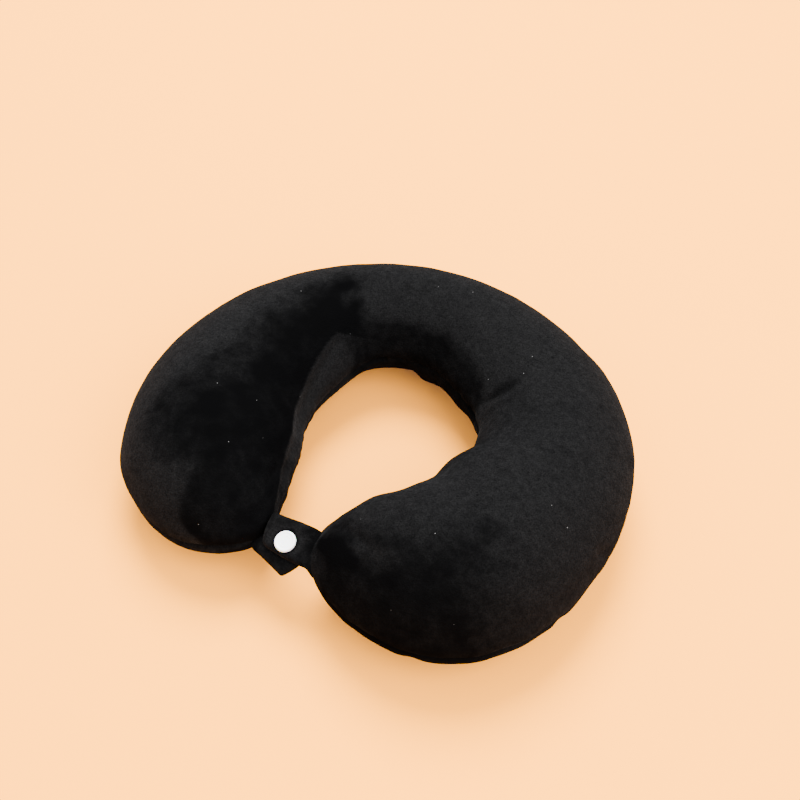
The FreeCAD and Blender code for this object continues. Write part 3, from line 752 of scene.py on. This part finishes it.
def at_slider(points):
    """From the slider's own frame (mm along the zipper, across it, out from the axis) to the row frame."""
    points = np.asarray(points, float) * MM
    out = np.array([math.sin(SLIDER_ANGLE), math.cos(SLIDER_ANGLE), 0])
    along = np.array([math.cos(SLIDER_ANGLE), -math.sin(SLIDER_ANGLE), 0])
    origin = np.array([0, AXIS.y, SEAM])
    return origin + points[..., :1] * along + points[..., 1:2] * (0, 0, 1) + points[..., 2:] * out


def plate(outline, low, high, edge=0.18):
    """A flat plate between two levels, with softened edges, from an evenly sampled (x, y) outline."""
    centre = outline.mean(axis=0)
    size = np.linalg.norm(outline - centre, axis=1, keepdims=True)
    steps = [(edge, low), (edge * 0.3, low + edge * 0.3), (0, low + edge)]
    steps += [(0, high - edge), (edge * 0.3, high - edge * 0.3), (edge, high)]
    loops = []
    for inward, level in steps:
        moved = centre + (outline - centre) * (1 - inward / size)
        loops.append(at_slider(with_height(moved, level)))
    return lofted(loops, "fan")


def slider_body():
    front = SLIDER_FRONT / MM
    shield = [(-4.5, -2.7, 1.2), (-4.5, 2.7, 1.2), (-1.0, 2.9, 2), (2.4, 3.5, 2), (4.5, 2.2, 1.4)]
    shield += [(4.5, -2.2, 1.4), (2.4, -3.5, 2), (-1.0, -2.9, 2)]
    back = [(x * 0.9, y * 0.9, cut) for x, y, cut in shield]
    low_plate = front - 2.05
    parts = [plate(even_outline(shield, 72), front, front + SHIELD_THICK)]
    parts.append(plate(even_outline(back, 72), low_plate - 0.6, low_plate))
    for side in (-1, 1):
        flange = [(-3.6, 2.55, 0.3), (-0.8, 2.75, 0.5), (2.0, 3.25, 0.5), (3.2, 2.9, 0.3)]
        flange += [(3.1, 2.5, 0.3), (1.9, 2.8, 0.5), (-0.8, 2.3, 0.5), (-3.6, 2.15, 0.3)]
        outline = even_outline([(x, side * y, cut) for x, y, cut in flange], 48)
        parts.append(plate(outline, front - 0.55, front + 0.1, 0.1))
    wedge = mirrored([(1.5, -0.22, 0.1), (4.1, -0.22, 0.1)])
    parts.append(plate(even_outline(wedge, 24), low_plate - 0.1, front + 0.1, 0.05))
    arch = rounded_line([(-2.5, 0.6, 0), (-2.35, 2.75, 1.1), (2.35, 2.75, 1.1), (2.5, 0.6, 0)], False, 8)
    strip = []
    across = mirrored([(-0.85, -0.32), (-0.62, -0.42), (0.62, -0.42), (0.85, -0.32)])
    tangents = np.gradient(arch, axis=0)
    tangents /= np.linalg.norm(tangents, axis=1, keepdims=True)
    for (x, rise), (tx, ty) in zip(arch, tangents):
        loop = [(x - ty * depth, width, front + rise + tx * depth) for width, depth in across]
        strip.append(at_slider(loop))
    parts.append(lofted(strip, "fan"))
    return belongs(joined("zipper_slider_casting", parts), "zipper_slider", "zip_metal", "zipper_slider_body")


def angles_about(centre, shape):
    return np.arctan2(shape[:, 1] - centre[1], shape[:, 0] - centre[0]) % (2 * math.pi)


def pull_tab():
    """A plate with a window, bevelled along its outer edge and along the window's."""
    outline = mirrored([(0.5, -1.9, 0.8), (-6.0, -1.7, 1.5), (-13.0, -2.5, 1.4), (-14.5, -1.5, 0.8)])
    window = mirrored([(-0.45, -1.15, 0.4), (-3.6, -1.1, 0.5)])
    outer, inner = even_outline(outline, 96), even_outline(window, 96)
    centre = np.mean([corner[:2] for corner in window], axis=0)
    outer_angle, inner_angle = angles_about(centre, outer), angles_about(centre, inner)
    order = np.argsort(inner_angle)
    facing = [
        np.interp(outer_angle, inner_angle[order], inner[order, k], period=2 * math.pi) for k in (0, 1)
    ]
    facing = np.stack(facing, -1)
    middle = SLIDER_FRONT / MM + SHIELD_THICK + PULL_RISE
    shares = (0.0, 0.02, 0.06, 0.5, 0.94, 0.98, 1.0)    # of the way from the outer edge to the window
    rings = []
    for side in (1, -1):
        for share in shares[::side]:
            place = outer * (1 - share) + facing * share
            bevel = min(1.0, 0.55 + min(share, 1 - share) / 0.04)
            rings.append(at_slider(with_height(place, middle + side * PULL_HALF * bevel)))
    pull = joined("zipper_pull", [lofted(rings, "ring")])
    return belongs(pull, "zipper_pull", "zip_metal", "zipper_pull_tab")


slider = slider_body()
pull = pull_tab()

# ---------------------------------------------------------------- tabs
UPPER_AXIS = Vector(joints["upper_tab_fold"]["axis"]).normalized()
LOWER_AXIS = Vector(joints["lower_tab_fold"]["axis"]).normalized()
SNAP_UP = UPPER_AXIS.cross(LOWER_AXIS).normalized()
SOCKET_LOW, SOCKET_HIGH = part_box("snap_socket")
SNAP_MIDDLE = (SOCKET_LOW + SOCKET_HIGH) / 2 - SNAP_UP * 1.2 * MM


def tab_frame(axis):
    """From a tab's own frame, x towards its root and z along the snap's axis, to the row frame."""
    to_root = axis.cross(SNAP_UP).normalized()
    basis = np.array([to_root, axis, SNAP_UP])

    def place(points):
        return np.array(SNAP_MIDDLE) + np.asarray(points) @ basis

    return place, to_root


upper_place, upper_to_root = tab_frame(UPPER_AXIS)
lower_place, lower_to_root = tab_frame(LOWER_AXIS)

# Heights in mm over the plane between socket and stud, as the frame's layers have them.
UPPER_MIDDLE, LOWER_MIDDLE = 3.7, -2.95
CAP_RADIUS, SOCKET_RADIUS, HOLE_RADIUS = 6.0, 5.2, 1.1
PUFF_HEIGHT, PRESSED_HEIGHT, BACKING_HEIGHT = 2.5, 1.30, 0.04

UPPER_OUTLINE = [
    (27, 9.5, 2), (19, 11.5, 4), (13.4, 12.7, 4), (0, 13.6, 10), (-14.2, 13.6, 1.8), (-15.0, 3, 8),
    (-12.3, -5.6, 5), (4, -8.7, 8), (13.5, -9.3, 3), (17, -9.4, 3), (22.5, -13.4, 3), (27, -13, 2),
]
LOWER_OUTLINE = [
    (28, 12.5, 2), (20, 14.6, 4), (12, 14.7, 5), (2, 14.1, 10), (-9.4, 14.4, 1.8), (-11.9, 5.5, 5),
    (-12.0, -8.0, 4), (4, -9.4, 8), (14, -9.4, 5), (19, -7.5, 5), (28, -7, 2),
]


# Droop: how far a tab's root hangs from the snap's plane, starting some way from the snap, in mm.
DROOP_START, DROOP_RUN = 10.5, 12.0
UPPER_TAB = dict(corners=UPPER_OUTLINE, place=upper_place, middle=UPPER_MIDDLE, droop=3.2, seed=101)
LOWER_TAB = dict(corners=LOWER_OUTLINE, place=lower_place, middle=LOWER_MIDDLE, droop=0.8, seed=131)


def tab_points(tab, outline, share, height_of, side):
    """One loop of a tab's layer at a share of the way from the post's hole to the edge."""
    middle, seed = tab["middle"], tab["seed"]
    centre_ring = outline / np.linalg.norm(outline, axis=1, keepdims=True) * HOLE_RADIUS
    flat = centre_ring * (1 - share) + outline * share
    height = height_of(share, flat)
    spot = with_height(flat, middle)
    free = smooth((np.linalg.norm(flat, axis=1) - 5.5) / 3)
    crumple = 0.30 * lattice_noise(spot, 7.0, seed) + 0.14 * layered_noise(spot, 2.6, seed + 3, 2)
    wave = 0.55 * lattice_noise(spot, 15.0, seed // 2) * free
    past = np.maximum(flat[:, 0] - DROOP_START, 0) / DROOP_RUN
    if height.max() > 0.1:
        height = height + crumple * free
    level = middle + side * height + wave - tab["droop"] * past ** 2
    return with_height(flat, level[:, None])


def tab_layer(name, tab, side, pressed_radius, node):
    """One plush layer of a tab: puffed between the seam at its edge and the part pressed by the snap."""
    outline = even_outline(tab["corners"], 132)
    uneven = layered_noise(with_height(outline, 0.0), 6.0, tab["seed"], 2)
    outline = outline * (1 + 0.016 * uneven[:, None])

    def puffed(share, flat):
        radius = np.linalg.norm(flat, axis=1)
        crown = PUFF_HEIGHT * (1 - share ** 7) ** 0.5 * (0.86 + 0.14 * np.cos((share - 0.75) * 5))
        root = 1 - 0.25 * smooth((flat[:, 0] - 8) / 8)
        sink = smooth((radius - pressed_radius + 0.5) / 2.2)
        return BACKING_HEIGHT + PRESSED_HEIGHT * (1 - sink) + crown * root * sink

    def backing(share, flat):
        return np.full(len(flat), BACKING_HEIGHT)

    rings = []
    for share in 1 - np.linspace(1, 0, 40) ** 1.25:
        rings.append(tab_points(tab, outline, share, puffed, side))
    for share in np.linspace(1, 0, 12)[1:]:
        rings.append(tab_points(tab, outline, share, backing, side))
    points, faces = lofted([tab["place"](ring * MM) for ring in rings], "ring")
    flat = np.concatenate(rings)
    lie_and_painted_shading = 0.52 + 0.22 * layered_noise(flat, 5.0, tab["seed"] + 9, 3)
    radius = np.linalg.norm(flat[:, :2], axis=1)
    # painted shadow in a ring just round the snap's cap, and a painted highlight on the puffed ring outside
    # it
    lie_and_painted_shading += 0.25 * bell(radius - 8.6, 1.3) - 0.35 * bell(radius - 6.3, 0.8)
    # darker towards the root: painted shade where the tab bends down into the arm
    lie_and_painted_shading -= 0.30 * smooth((flat[:, 0] - 8) / 6)
    obj = joined(name, [(points, faces)], np.clip(lie_and_painted_shading, 0.05, 1))
    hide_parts(node)
    return obj


def crosses_hinge(obj):
    """Bakes the piece's placement into its mesh."""
    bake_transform(obj)


def edge_thread(name, tab, node):
    """The seam that joins a tab's two layers, run just inside its edge."""
    outline = even_outline(tab["corners"], 160)
    outline = outline * (1 - 1.1 / np.linalg.norm(outline, axis=1, keepdims=True))

    def level(share, flat):
        return np.zeros(len(flat))

    path = tab["place"](tab_points(tab, outline, 1.0, level, 0) * MM)
    thread = joined(name, [tube(path, 0.14 * MM, 6, closed=True)])
    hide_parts(node)
    return thread


upper_front = tab_layer("upper_tab_front_plush", UPPER_TAB, 1, CAP_RADIUS, "upper_tab_front_layer")
upper_back = tab_layer("upper_tab_back_plush", UPPER_TAB, -1, SOCKET_RADIUS, "upper_tab_back_layer")
upper_thread = edge_thread("upper_tab_seam_stitching", UPPER_TAB, "upper_tab_seam_thread")
lower_front = tab_layer("lower_tab_front_plush", LOWER_TAB, 1, SOCKET_RADIUS, "lower_tab_front_layer")
lower_back = tab_layer("lower_tab_back_plush", LOWER_TAB, -1, CAP_RADIUS, "lower_tab_back_layer")
lower_thread = edge_thread("lower_tab_seam_stitching", LOWER_TAB, "lower_tab_seam_thread")
for obj in (upper_front, upper_back, upper_thread):
    crosses_hinge(obj)
for obj in (lower_front, lower_back, lower_thread):
    crosses_hinge(obj)


def root_tacks(name, tab, node):
    """A bar tack across the root of a tab, through the end of the arm."""
    parts = []
    reach, half_span = 17.0, 4.8
    sunk = tab["middle"] - tab["droop"] * ((reach - DROOP_START) / DROOP_RUN) ** 2
    for offset in np.linspace(-half_span, half_span, 7):
        x = reach + 0.9 * STITCH_SHARE
        y = np.full(len(x), offset + 1.2)
        z = sunk + 1.5 - 0.5 * STITCH_SHARE ** 4
        parts.append(stitch(tab["place"](np.stack([x, y, z], -1) * MM), 0.2 * MM))
    return belongs(joined(name, parts), "pillow", "thread", node)


upper_tacks = root_tacks("upper_tab_bar_tack", UPPER_TAB, "upper_tab_root_stitches")
lower_tacks = root_tacks("lower_tab_bar_tack", LOWER_TAB, "lower_tab_root_stitches")


# ---------------------------------------------------------------- snap fastener
def snap_piece(name, corners, ends, body, node):
    """A moulded part: its (radius, height, rounding) profile in mm, turned round the snap's axis."""
    turn = full_turn(96)
    loops = []
    for radius, height in rounded_line(corners, closed=ends == "ring", steps=5):
        radius = max(radius, 1e-4)
        loop = np.stack([radius * np.cos(turn), radius * np.sin(turn), np.full(len(turn), height)], -1)
        loops.append(upper_place(loop * MM))
    return belongs(joined(name, [lofted(loops, ends)]), body, "snap_white", node)


def cap_profile(base, outward, web):
    """A cap with a raised rim and a gently dished middle, and the post that clamps it."""
    rise = [
        (0.0, 1.28, 0), (2.5, 1.30, 0.4), (2.9, 1.42, 0.3), (4.3, 1.40, 0.6), (4.8, 1.72, 0.35),
        (5.6, 1.72, 0.5), (6.0, 1.0, 0.5), (6.0, 0.25, 0.2), (5.7, 0.0, 0.2), (0.9, 0.0, 0.1),
    ]
    profile = [(radius, base + outward * height, cut) for radius, height, cut in rise]
    profile += [(0.9, web, 0), (1.2, web - outward * 0.05, 0.05), (1.15, web - outward * 0.35, 0.1)]
    profile += [(0.0, web - outward * 0.35, 0)]
    return profile


FRONT_CAP_PROFILE = cap_profile(5.05, 1, 1.7)
BACK_CAP_PROFILE = cap_profile(-4.35, -1, -1.0)
SOCKET_PROFILE = [
    (1.0, 2.3, 0.1), (5.2, 2.3, 0.3), (5.2, 1.1, 0.4), (4.3, 0.45, 0.4), (3.6, 0.1, 0.2), (3.0, 0.1, 0.2),
    (2.25, 0.45, 0.2), (2.35, 1.7, 0.1), (1.0, 1.7, 0.1),
]
STUD_PROFILE = [
    (1.0, -1.6, 0.1), (5.2, -1.6, 0.3), (5.2, -1.0, 0.3), (4.4, -0.5, 0.4), (2.6, -0.32, 0.3),
    (1.65, -0.1, 0.2), (1.5, 0.3, 0.2), (1.8, 0.75, 0.3), (1.6, 1.1, 0.2), (1.3, 1.1, 0.1),
    (1.3, -0.9, 0.1), (1.0, -1.0, 0.1),
]
front_cap = snap_piece("snap_front_cap_moulding", FRONT_CAP_PROFILE, "fan", "upper_tab", "snap_front_cap")
back_cap = snap_piece("snap_back_cap_moulding", BACK_CAP_PROFILE, "fan", "lower_tab", "snap_back_cap")
socket = snap_piece("snap_socket_moulding", SOCKET_PROFILE, "ring", "upper_tab", "snap_socket")
stud = snap_piece("snap_stud_moulding", STUD_PROFILE, "ring", "lower_tab", "snap_stud")


# ---------------------------------------------------------------- materials
class Nodes:
    """A short way to write a material's nodes."""

    def __init__(self, name):
        self.material = bpy.data.materials.new(name)
        self.material.use_nodes = True
        self.tree = self.material.node_tree
        self.shader = self.tree.nodes["Principled BSDF"]

    def add(self, kind, inputs=None, **settings):
        node = self.tree.nodes.new(kind)
        for key, value in settings.items():
            setattr(node, key, value)
        for key, value in (inputs or {}).items():
            self.feed(node.inputs[key], value)
        return node

    def feed(self, socket, value):
        if isinstance(value, bpy.types.NodeSocket):
            self.tree.links.new(value, socket)
        else:
            socket.default_value = value

    def math(self, operation, first, second=0.0, clamp=False):
        node = self.add("ShaderNodeMath", {0: first, 1: second}, operation=operation, use_clamp=clamp)
        return node.outputs[0]

    def times(self, first, second, clamp=False):
        return self.math("MULTIPLY", first, second, clamp)

    def plus(self, first, second):
        return self.math("ADD", first, second)

    def spread(self, value, low, high, to_low=0.0, to_high=1.0):
        inputs = {0: value, 1: low, 2: high, 3: to_low, 4: to_high}
        return self.add("ShaderNodeMapRange", inputs, clamp=True).outputs[0]

    def mix(self, share, first, second):
        node = self.add("ShaderNodeMix", {0: share, 6: first, 7: second}, data_type="RGBA")
        return node.outputs[2]

    def noise(self, scale, detail=2.0, rough=0.5, vector=None):
        inputs = {"Scale": scale, "Detail": detail, "Roughness": rough}
        inputs["Vector"] = vector or self.place()
        return self.add("ShaderNodeTexNoise", inputs).outputs["Fac"]

    def cells(self, scale):
        """A Voronoi texture's outputs: its distance to the nearest cell's middle and the cell's colour."""
        return self.add("ShaderNodeTexVoronoi", {"Scale": scale, "Vector": self.place()}).outputs

    def bands(self, scale, distortion=0.0, direction="X"):
        inputs = {"Scale": scale, "Distortion": distortion, "Vector": self.place()}
        return self.add("ShaderNodeTexWave", inputs, bands_direction=direction).outputs["Fac"]

    def place(self):
        return self.add("ShaderNodeTexCoord").outputs["Object"]

    def bump(self, height, strength, distance, lit_inner_strip=None):
        inputs = {"Height": height, "Strength": strength, "Distance": distance}
        if lit_inner_strip is not None:
            inputs["Normal"] = lit_inner_strip
        return self.add("ShaderNodeBump", inputs).outputs["Normal"]

    def finish(self, **inputs):
        for key, value in inputs.items():
            self.feed(self.shader.inputs[key.replace("_", " ")], value)
        return self.material


def grey(value, tint=1.0):
    return (value, value, value * tint, 1.0)


def lint_specks(n):
    """1 on the few places where a crumb of lint has caught in the pile, and 0 elsewhere."""
    cells = n.cells(100.0)
    crumb = n.spread(cells["Distance"], 0.020, 0.032, 1.0, 0.0)
    shade = n.add("ShaderNodeSeparateColor", {0: cells["Color"]}).outputs[0]
    return n.times(crumb, n.math("GREATER_THAN", shade, 0.5))


SHEEN_LOW, SHEEN_HIGH = 0.001, 0.025


def plush_material():
    """Short crystal velour: near black in the pile's depth, greyer where the tips catch the light. Its colour
    and sheen weight follow the nap attribute, which also holds painted light and shade.
    """
    n = Nodes("black_plush")
    lie_and_painted_shading = n.add("ShaderNodeAttribute", attribute_name="nap_and_painted_shading").outputs["Fac"]
    fine = n.noise(1350, 3, 0.65)
    tuft = n.noise(480, 3, 0.6)
    clump = n.noise(190, 3, 0.6)
    grain = n.plus(n.times(fine, 0.72), n.times(tuft, 0.28))
    grain = n.spread(grain, 0.34, 0.66, 0.25, 1.80)
    stroked = n.math("SUBTRACT", 1.15, lie_and_painted_shading, True)
    patchy = n.times(n.spread(clump, 0.32, 0.68, -0.62, 0.62), stroked)
    patchy = n.plus(patchy, 1.0)
    light = n.times(n.times(lie_and_painted_shading, grain), patchy)
    # base colour and sheen weight follow the painted light and shade held in the nap attribute
    colour = n.mix(n.times(light, 0.55, True), grey(0.0009, 1.08), grey(0.0062, 1.03))
    colour = n.mix(lint_specks(n), colour, grey(0.09))
    sheen = n.spread(light, 0.0, 1.6, SHEEN_LOW, SHEEN_HIGH)
    normal = n.bump(tuft, 0.55, 0.0009)
    normal = n.bump(n.cells(1300.0)["Distance"], 0.35, 0.0004, normal)
    return n.finish(
        Base_Color=colour, Roughness=0.92, Specular_IOR_Level=0.0, Normal=normal,
        Sheen_Weight=sheen, Sheen_Roughness=0.42, Sheen_Tint=(0.86, 0.88, 0.92, 1),
    )


def round_axis_place(n):
    """Texture places in mm along the zipper and across it."""
    xyz = n.add("ShaderNodeSeparateXYZ", {0: n.place()})
    y = n.math("SUBTRACT", xyz.outputs[1], AXIS.y)
    along = n.times(n.math("ARCTAN2", xyz.outputs[0], y), COIL_OUTER / MM)
    return along, n.times(xyz.outputs[2], 1 / MM)


def wave(n, value, pitch):
    return n.math("SINE", n.times(value, 2 * math.pi / pitch))


def tape_material():
    """Woven zipper tape: a fine herringbone in dull black polyester."""
    n = Nodes("woven_tape")
    along, across = round_axis_place(n)
    slant = n.times(n.math("PINGPONG", across, 1.6), 0.9)
    rib = wave(n, n.plus(along, slant), 0.62)
    warp = wave(n, across, 0.8)
    weave = n.plus(n.times(rib, 0.6), n.times(warp, 0.4))
    colour = n.mix(n.spread(weave, -1, 1), grey(0.0012), grey(0.006))
    return n.finish(
        Base_Color=colour, Roughness=0.8, Specular_IOR_Level=0.12, Sheen_Weight=0.015,
        Normal=n.bump(weave, 0.6, 0.00012),
    )


def nylon_material():
    n = Nodes("nylon_coil")
    fleck = n.noise(2500, 2)
    colour = n.mix(n.noise(300, 2), grey(0.002), grey(0.006))
    return n.finish(
        Base_Color=colour, Roughness=n.spread(fleck, 0.3, 0.7, 0.34, 0.5), Specular_IOR_Level=0.3,
        Normal=n.bump(fleck, 0.15, 0.00003),
    )


def metal_material():
    """Black enamelled zinc, worn to bare metal along its edges."""
    n = Nodes("enamelled_zinc")
    edge = n.add("ShaderNodeNewGeometry").outputs["Pointiness"]
    scuff = n.noise(1400, 4, 0.65)
    worn = n.spread(n.plus(edge, n.times(scuff, 0.10)), 0.66, 0.74, 0.0, 0.7)
    colour = n.mix(worn, grey(0.004), grey(0.22, 1.03))
    rough = n.spread(n.noise(900, 3), 0.3, 0.7, 0.26, 0.42)
    return n.finish(
        Base_Color=colour, Metallic=worn, Roughness=rough, Specular_IOR_Level=0.35,
        Normal=n.bump(scuff, 0.12, 0.00004),
    )


def thread_material(name, dark, pale):
    """Twisted sewing thread."""
    n = Nodes(name)
    ply = n.bands(620.0, 1.2)
    fuzz = n.noise(2600, 3, 0.6)
    colour = n.mix(ply, dark, pale)
    rough = n.spread(fuzz, 0.3, 0.7, 0.6, 0.8)
    twist = n.bump(ply, 0.6, 0.00008)
    return n.finish(
        Base_Color=colour, Roughness=rough, Specular_IOR_Level=0.2, Sheen_Weight=0.01,
        Normal=n.bump(fuzz, 0.3, 0.00004, twist),
    )


def lining_material():
    """Thin plain woven white polyester, slightly see-through at its weave."""
    n = Nodes("woven_lining")
    weave = [n.bands(480.0, direction=direction) for direction in "XYZ"]
    height = n.math("MAXIMUM", n.math("MAXIMUM", weave[0], weave[1]), weave[2])
    stain = n.noise(28, 4, 0.6)
    colour = n.mix(stain, (0.74, 0.73, 0.69, 1), (0.86, 0.86, 0.84, 1))
    return n.finish(
        Base_Color=colour, Roughness=0.72, Sheen_Weight=0.15, Normal=n.bump(height, 0.4, 0.00012),
    )


def foam_material():
    """Open cell foam with a faint skin from its mould."""
    n = Nodes("slow_foam")
    cell = n.cells(900.0)["Distance"]
    tone = n.noise(35, 4, 0.6)
    colour = n.mix(tone, (0.76, 0.70, 0.55, 1), (0.88, 0.84, 0.72, 1))
    # the pores painted darker: painted shade in their hollows
    pores_with_painted_shade = n.mix(n.spread(cell, 0.05, 0.30), (0.45, 0.40, 0.30, 1), colour)
    return n.finish(
        Base_Color=pores_with_painted_shade, Roughness=0.9, Subsurface_Weight=0.15, Subsurface_Scale=0.002,
        Normal=n.bump(cell, 0.5, 0.0003),
    )


def snap_material():
    """Moulded white resin: glossy, faintly milky, with handling scratches."""
    n = Nodes("white_resin")
    stretch = n.add("ShaderNodeMapping", {"Vector": n.place(), "Scale": (1.0, 6.0, 1.0)})
    scratch = n.noise(1500, 4, 0.7, stretch.outputs[0])
    cloud = n.noise(160, 3)
    colour = n.mix(cloud, (0.78, 0.80, 0.83, 1), (0.86, 0.87, 0.89, 1))
    rough = n.spread(scratch, 0.35, 0.75, 0.22, 0.42)
    return n.finish(
        Base_Color=colour, Roughness=rough, Subsurface_Weight=0.12, Subsurface_Scale=0.001,
        Specular_IOR_Level=0.5, Normal=n.bump(scratch, 0.06, 0.00003),
    )


plush = plush_material()
tape = tape_material()
nylon = nylon_material()
metal = metal_material()
black_thread = thread_material("black_thread", grey(0.0012), grey(0.006))
white_thread = thread_material("white_thread", grey(0.55), grey(0.8))
lining = lining_material()
foam_skin = foam_material()
resin = snap_material()

FINISHES = {
    plush: [cover_top, cover_bottom, upper_front, upper_back, lower_front, lower_back],
    lining: [liner_top, liner_bottom],
    foam_skin: [foam_core],
    black_thread: [
        cover_thread, row_upper, row_lower, upper_thread, lower_thread, upper_tacks, lower_tacks,
    ],
    white_thread: [liner_thread],
    nylon: [coil_upper, coil_lower],
    metal: [slider, pull],
    resin: [front_cap, back_cap, socket, stud],
}
for material, pieces in FINISHES.items():
    for piece in pieces:
        piece.data.materials.append(material)


def refinish(node_name, material):
    """Gives a CAD node that stays its material."""
    node = frame["nodes"][node_name]
    found = [node] if node.type == "MESH" else node.children_recursive
    for obj in [child for child in found if child.type == "MESH"]:
        if not obj.material_slots:
            obj.data.materials.append(material)
        for material_slot in obj.material_slots:
            material_slot.material = material


for node_name in ("zipper_tape_upper", "zipper_tape_lower"):
    refinish(node_name, tape)
for node_name in ("zipper_top_stops", "zipper_bottom_stop"):
    refinish(node_name, metal)

# ---------------------------------------------------------------- stage, light, camera
FLOOR_REACH = 3.0
corner_signs = ((-1, -1), (1, -1), (1, 1), (-1, 1))
floor_mesh = bpy.data.meshes.new("floor")
floor_mesh.from_pydata([(FLOOR_REACH * x, FLOOR_REACH * y, 0) for x, y in corner_signs], [], [(0, 1, 2, 3)])
floor = new_object("floor", floor_mesh)
paper = Nodes("peach_paper")
tooth = paper.noise(700, 3)
FLOOR_COLOUR = (1.0, 0.352, 0.002, 1)
PAINTED_FLOOR_GLOW = (1.0, 0.5, 0.38, 1)    # painted light: the paper floor glows faintly, though it is no lamp, which lifts and warms its shadows
PAINTED_FLOOR_GLOW_STRENGTH = 0.1
floor_mesh.materials.append(
    paper.finish(
        Base_Color=FLOOR_COLOUR, Roughness=0.95, Specular_IOR_Level=0.05,
        Normal=paper.bump(tooth, 0.05, 0.0001),
        # painted light: the floor's faint glow
        Emission_Color=PAINTED_FLOOR_GLOW, Emission_Strength=PAINTED_FLOOR_GLOW_STRENGTH,
    )
)

CAMERA_TURN = math.radians(32.5)
CAMERA_RISE = math.radians(46.6)
CAMERA_DISTANCE = 0.756
CAMERA_AIM = Vector((-0.0252, 0.0504, 0.0))
CAMERA_LENS = 52.63
level = math.cos(CAMERA_RISE)
to_camera = Vector((math.sin(CAMERA_TURN) * level, -math.cos(CAMERA_TURN) * level, math.sin(CAMERA_RISE)))
camera_data = bpy.data.cameras.new("camera")
camera_data.lens = CAMERA_LENS
camera = new_object("camera", camera_data)
camera.location = CAMERA_AIM + to_camera * CAMERA_DISTANCE
camera.rotation_euler = to_camera.to_track_quat("Z", "Y").to_euler()
bpy.context.scene.camera = camera


LIGHT_AIM = Vector((0, 0, 0.03))


def area_light(name, place, size, power, colour):
    data = bpy.data.lights.new(name, "AREA")
    data.shape = "DISK"
    data.size = size
    data.energy = power
    data.color = colour
    light = new_object(name, data)
    light.location = place
    light.rotation_euler = (Vector(place) - LIGHT_AIM).to_track_quat("Z", "Y").to_euler()


area_light("key", (-0.55, 0.85, 1.85), 1.3, 188, (1.0, 0.98, 0.95))
area_light("fill", (1.3, -0.3, 1.35), 1.6, 82, (1.0, 0.98, 0.96))
world = bpy.data.worlds.new("world")
world.use_nodes = True
background = world.node_tree.nodes["Background"].inputs
background["Color"].default_value = (0.98, 0.98, 1.0, 1)
background["Strength"].default_value = 2.95
bpy.context.scene.world = world
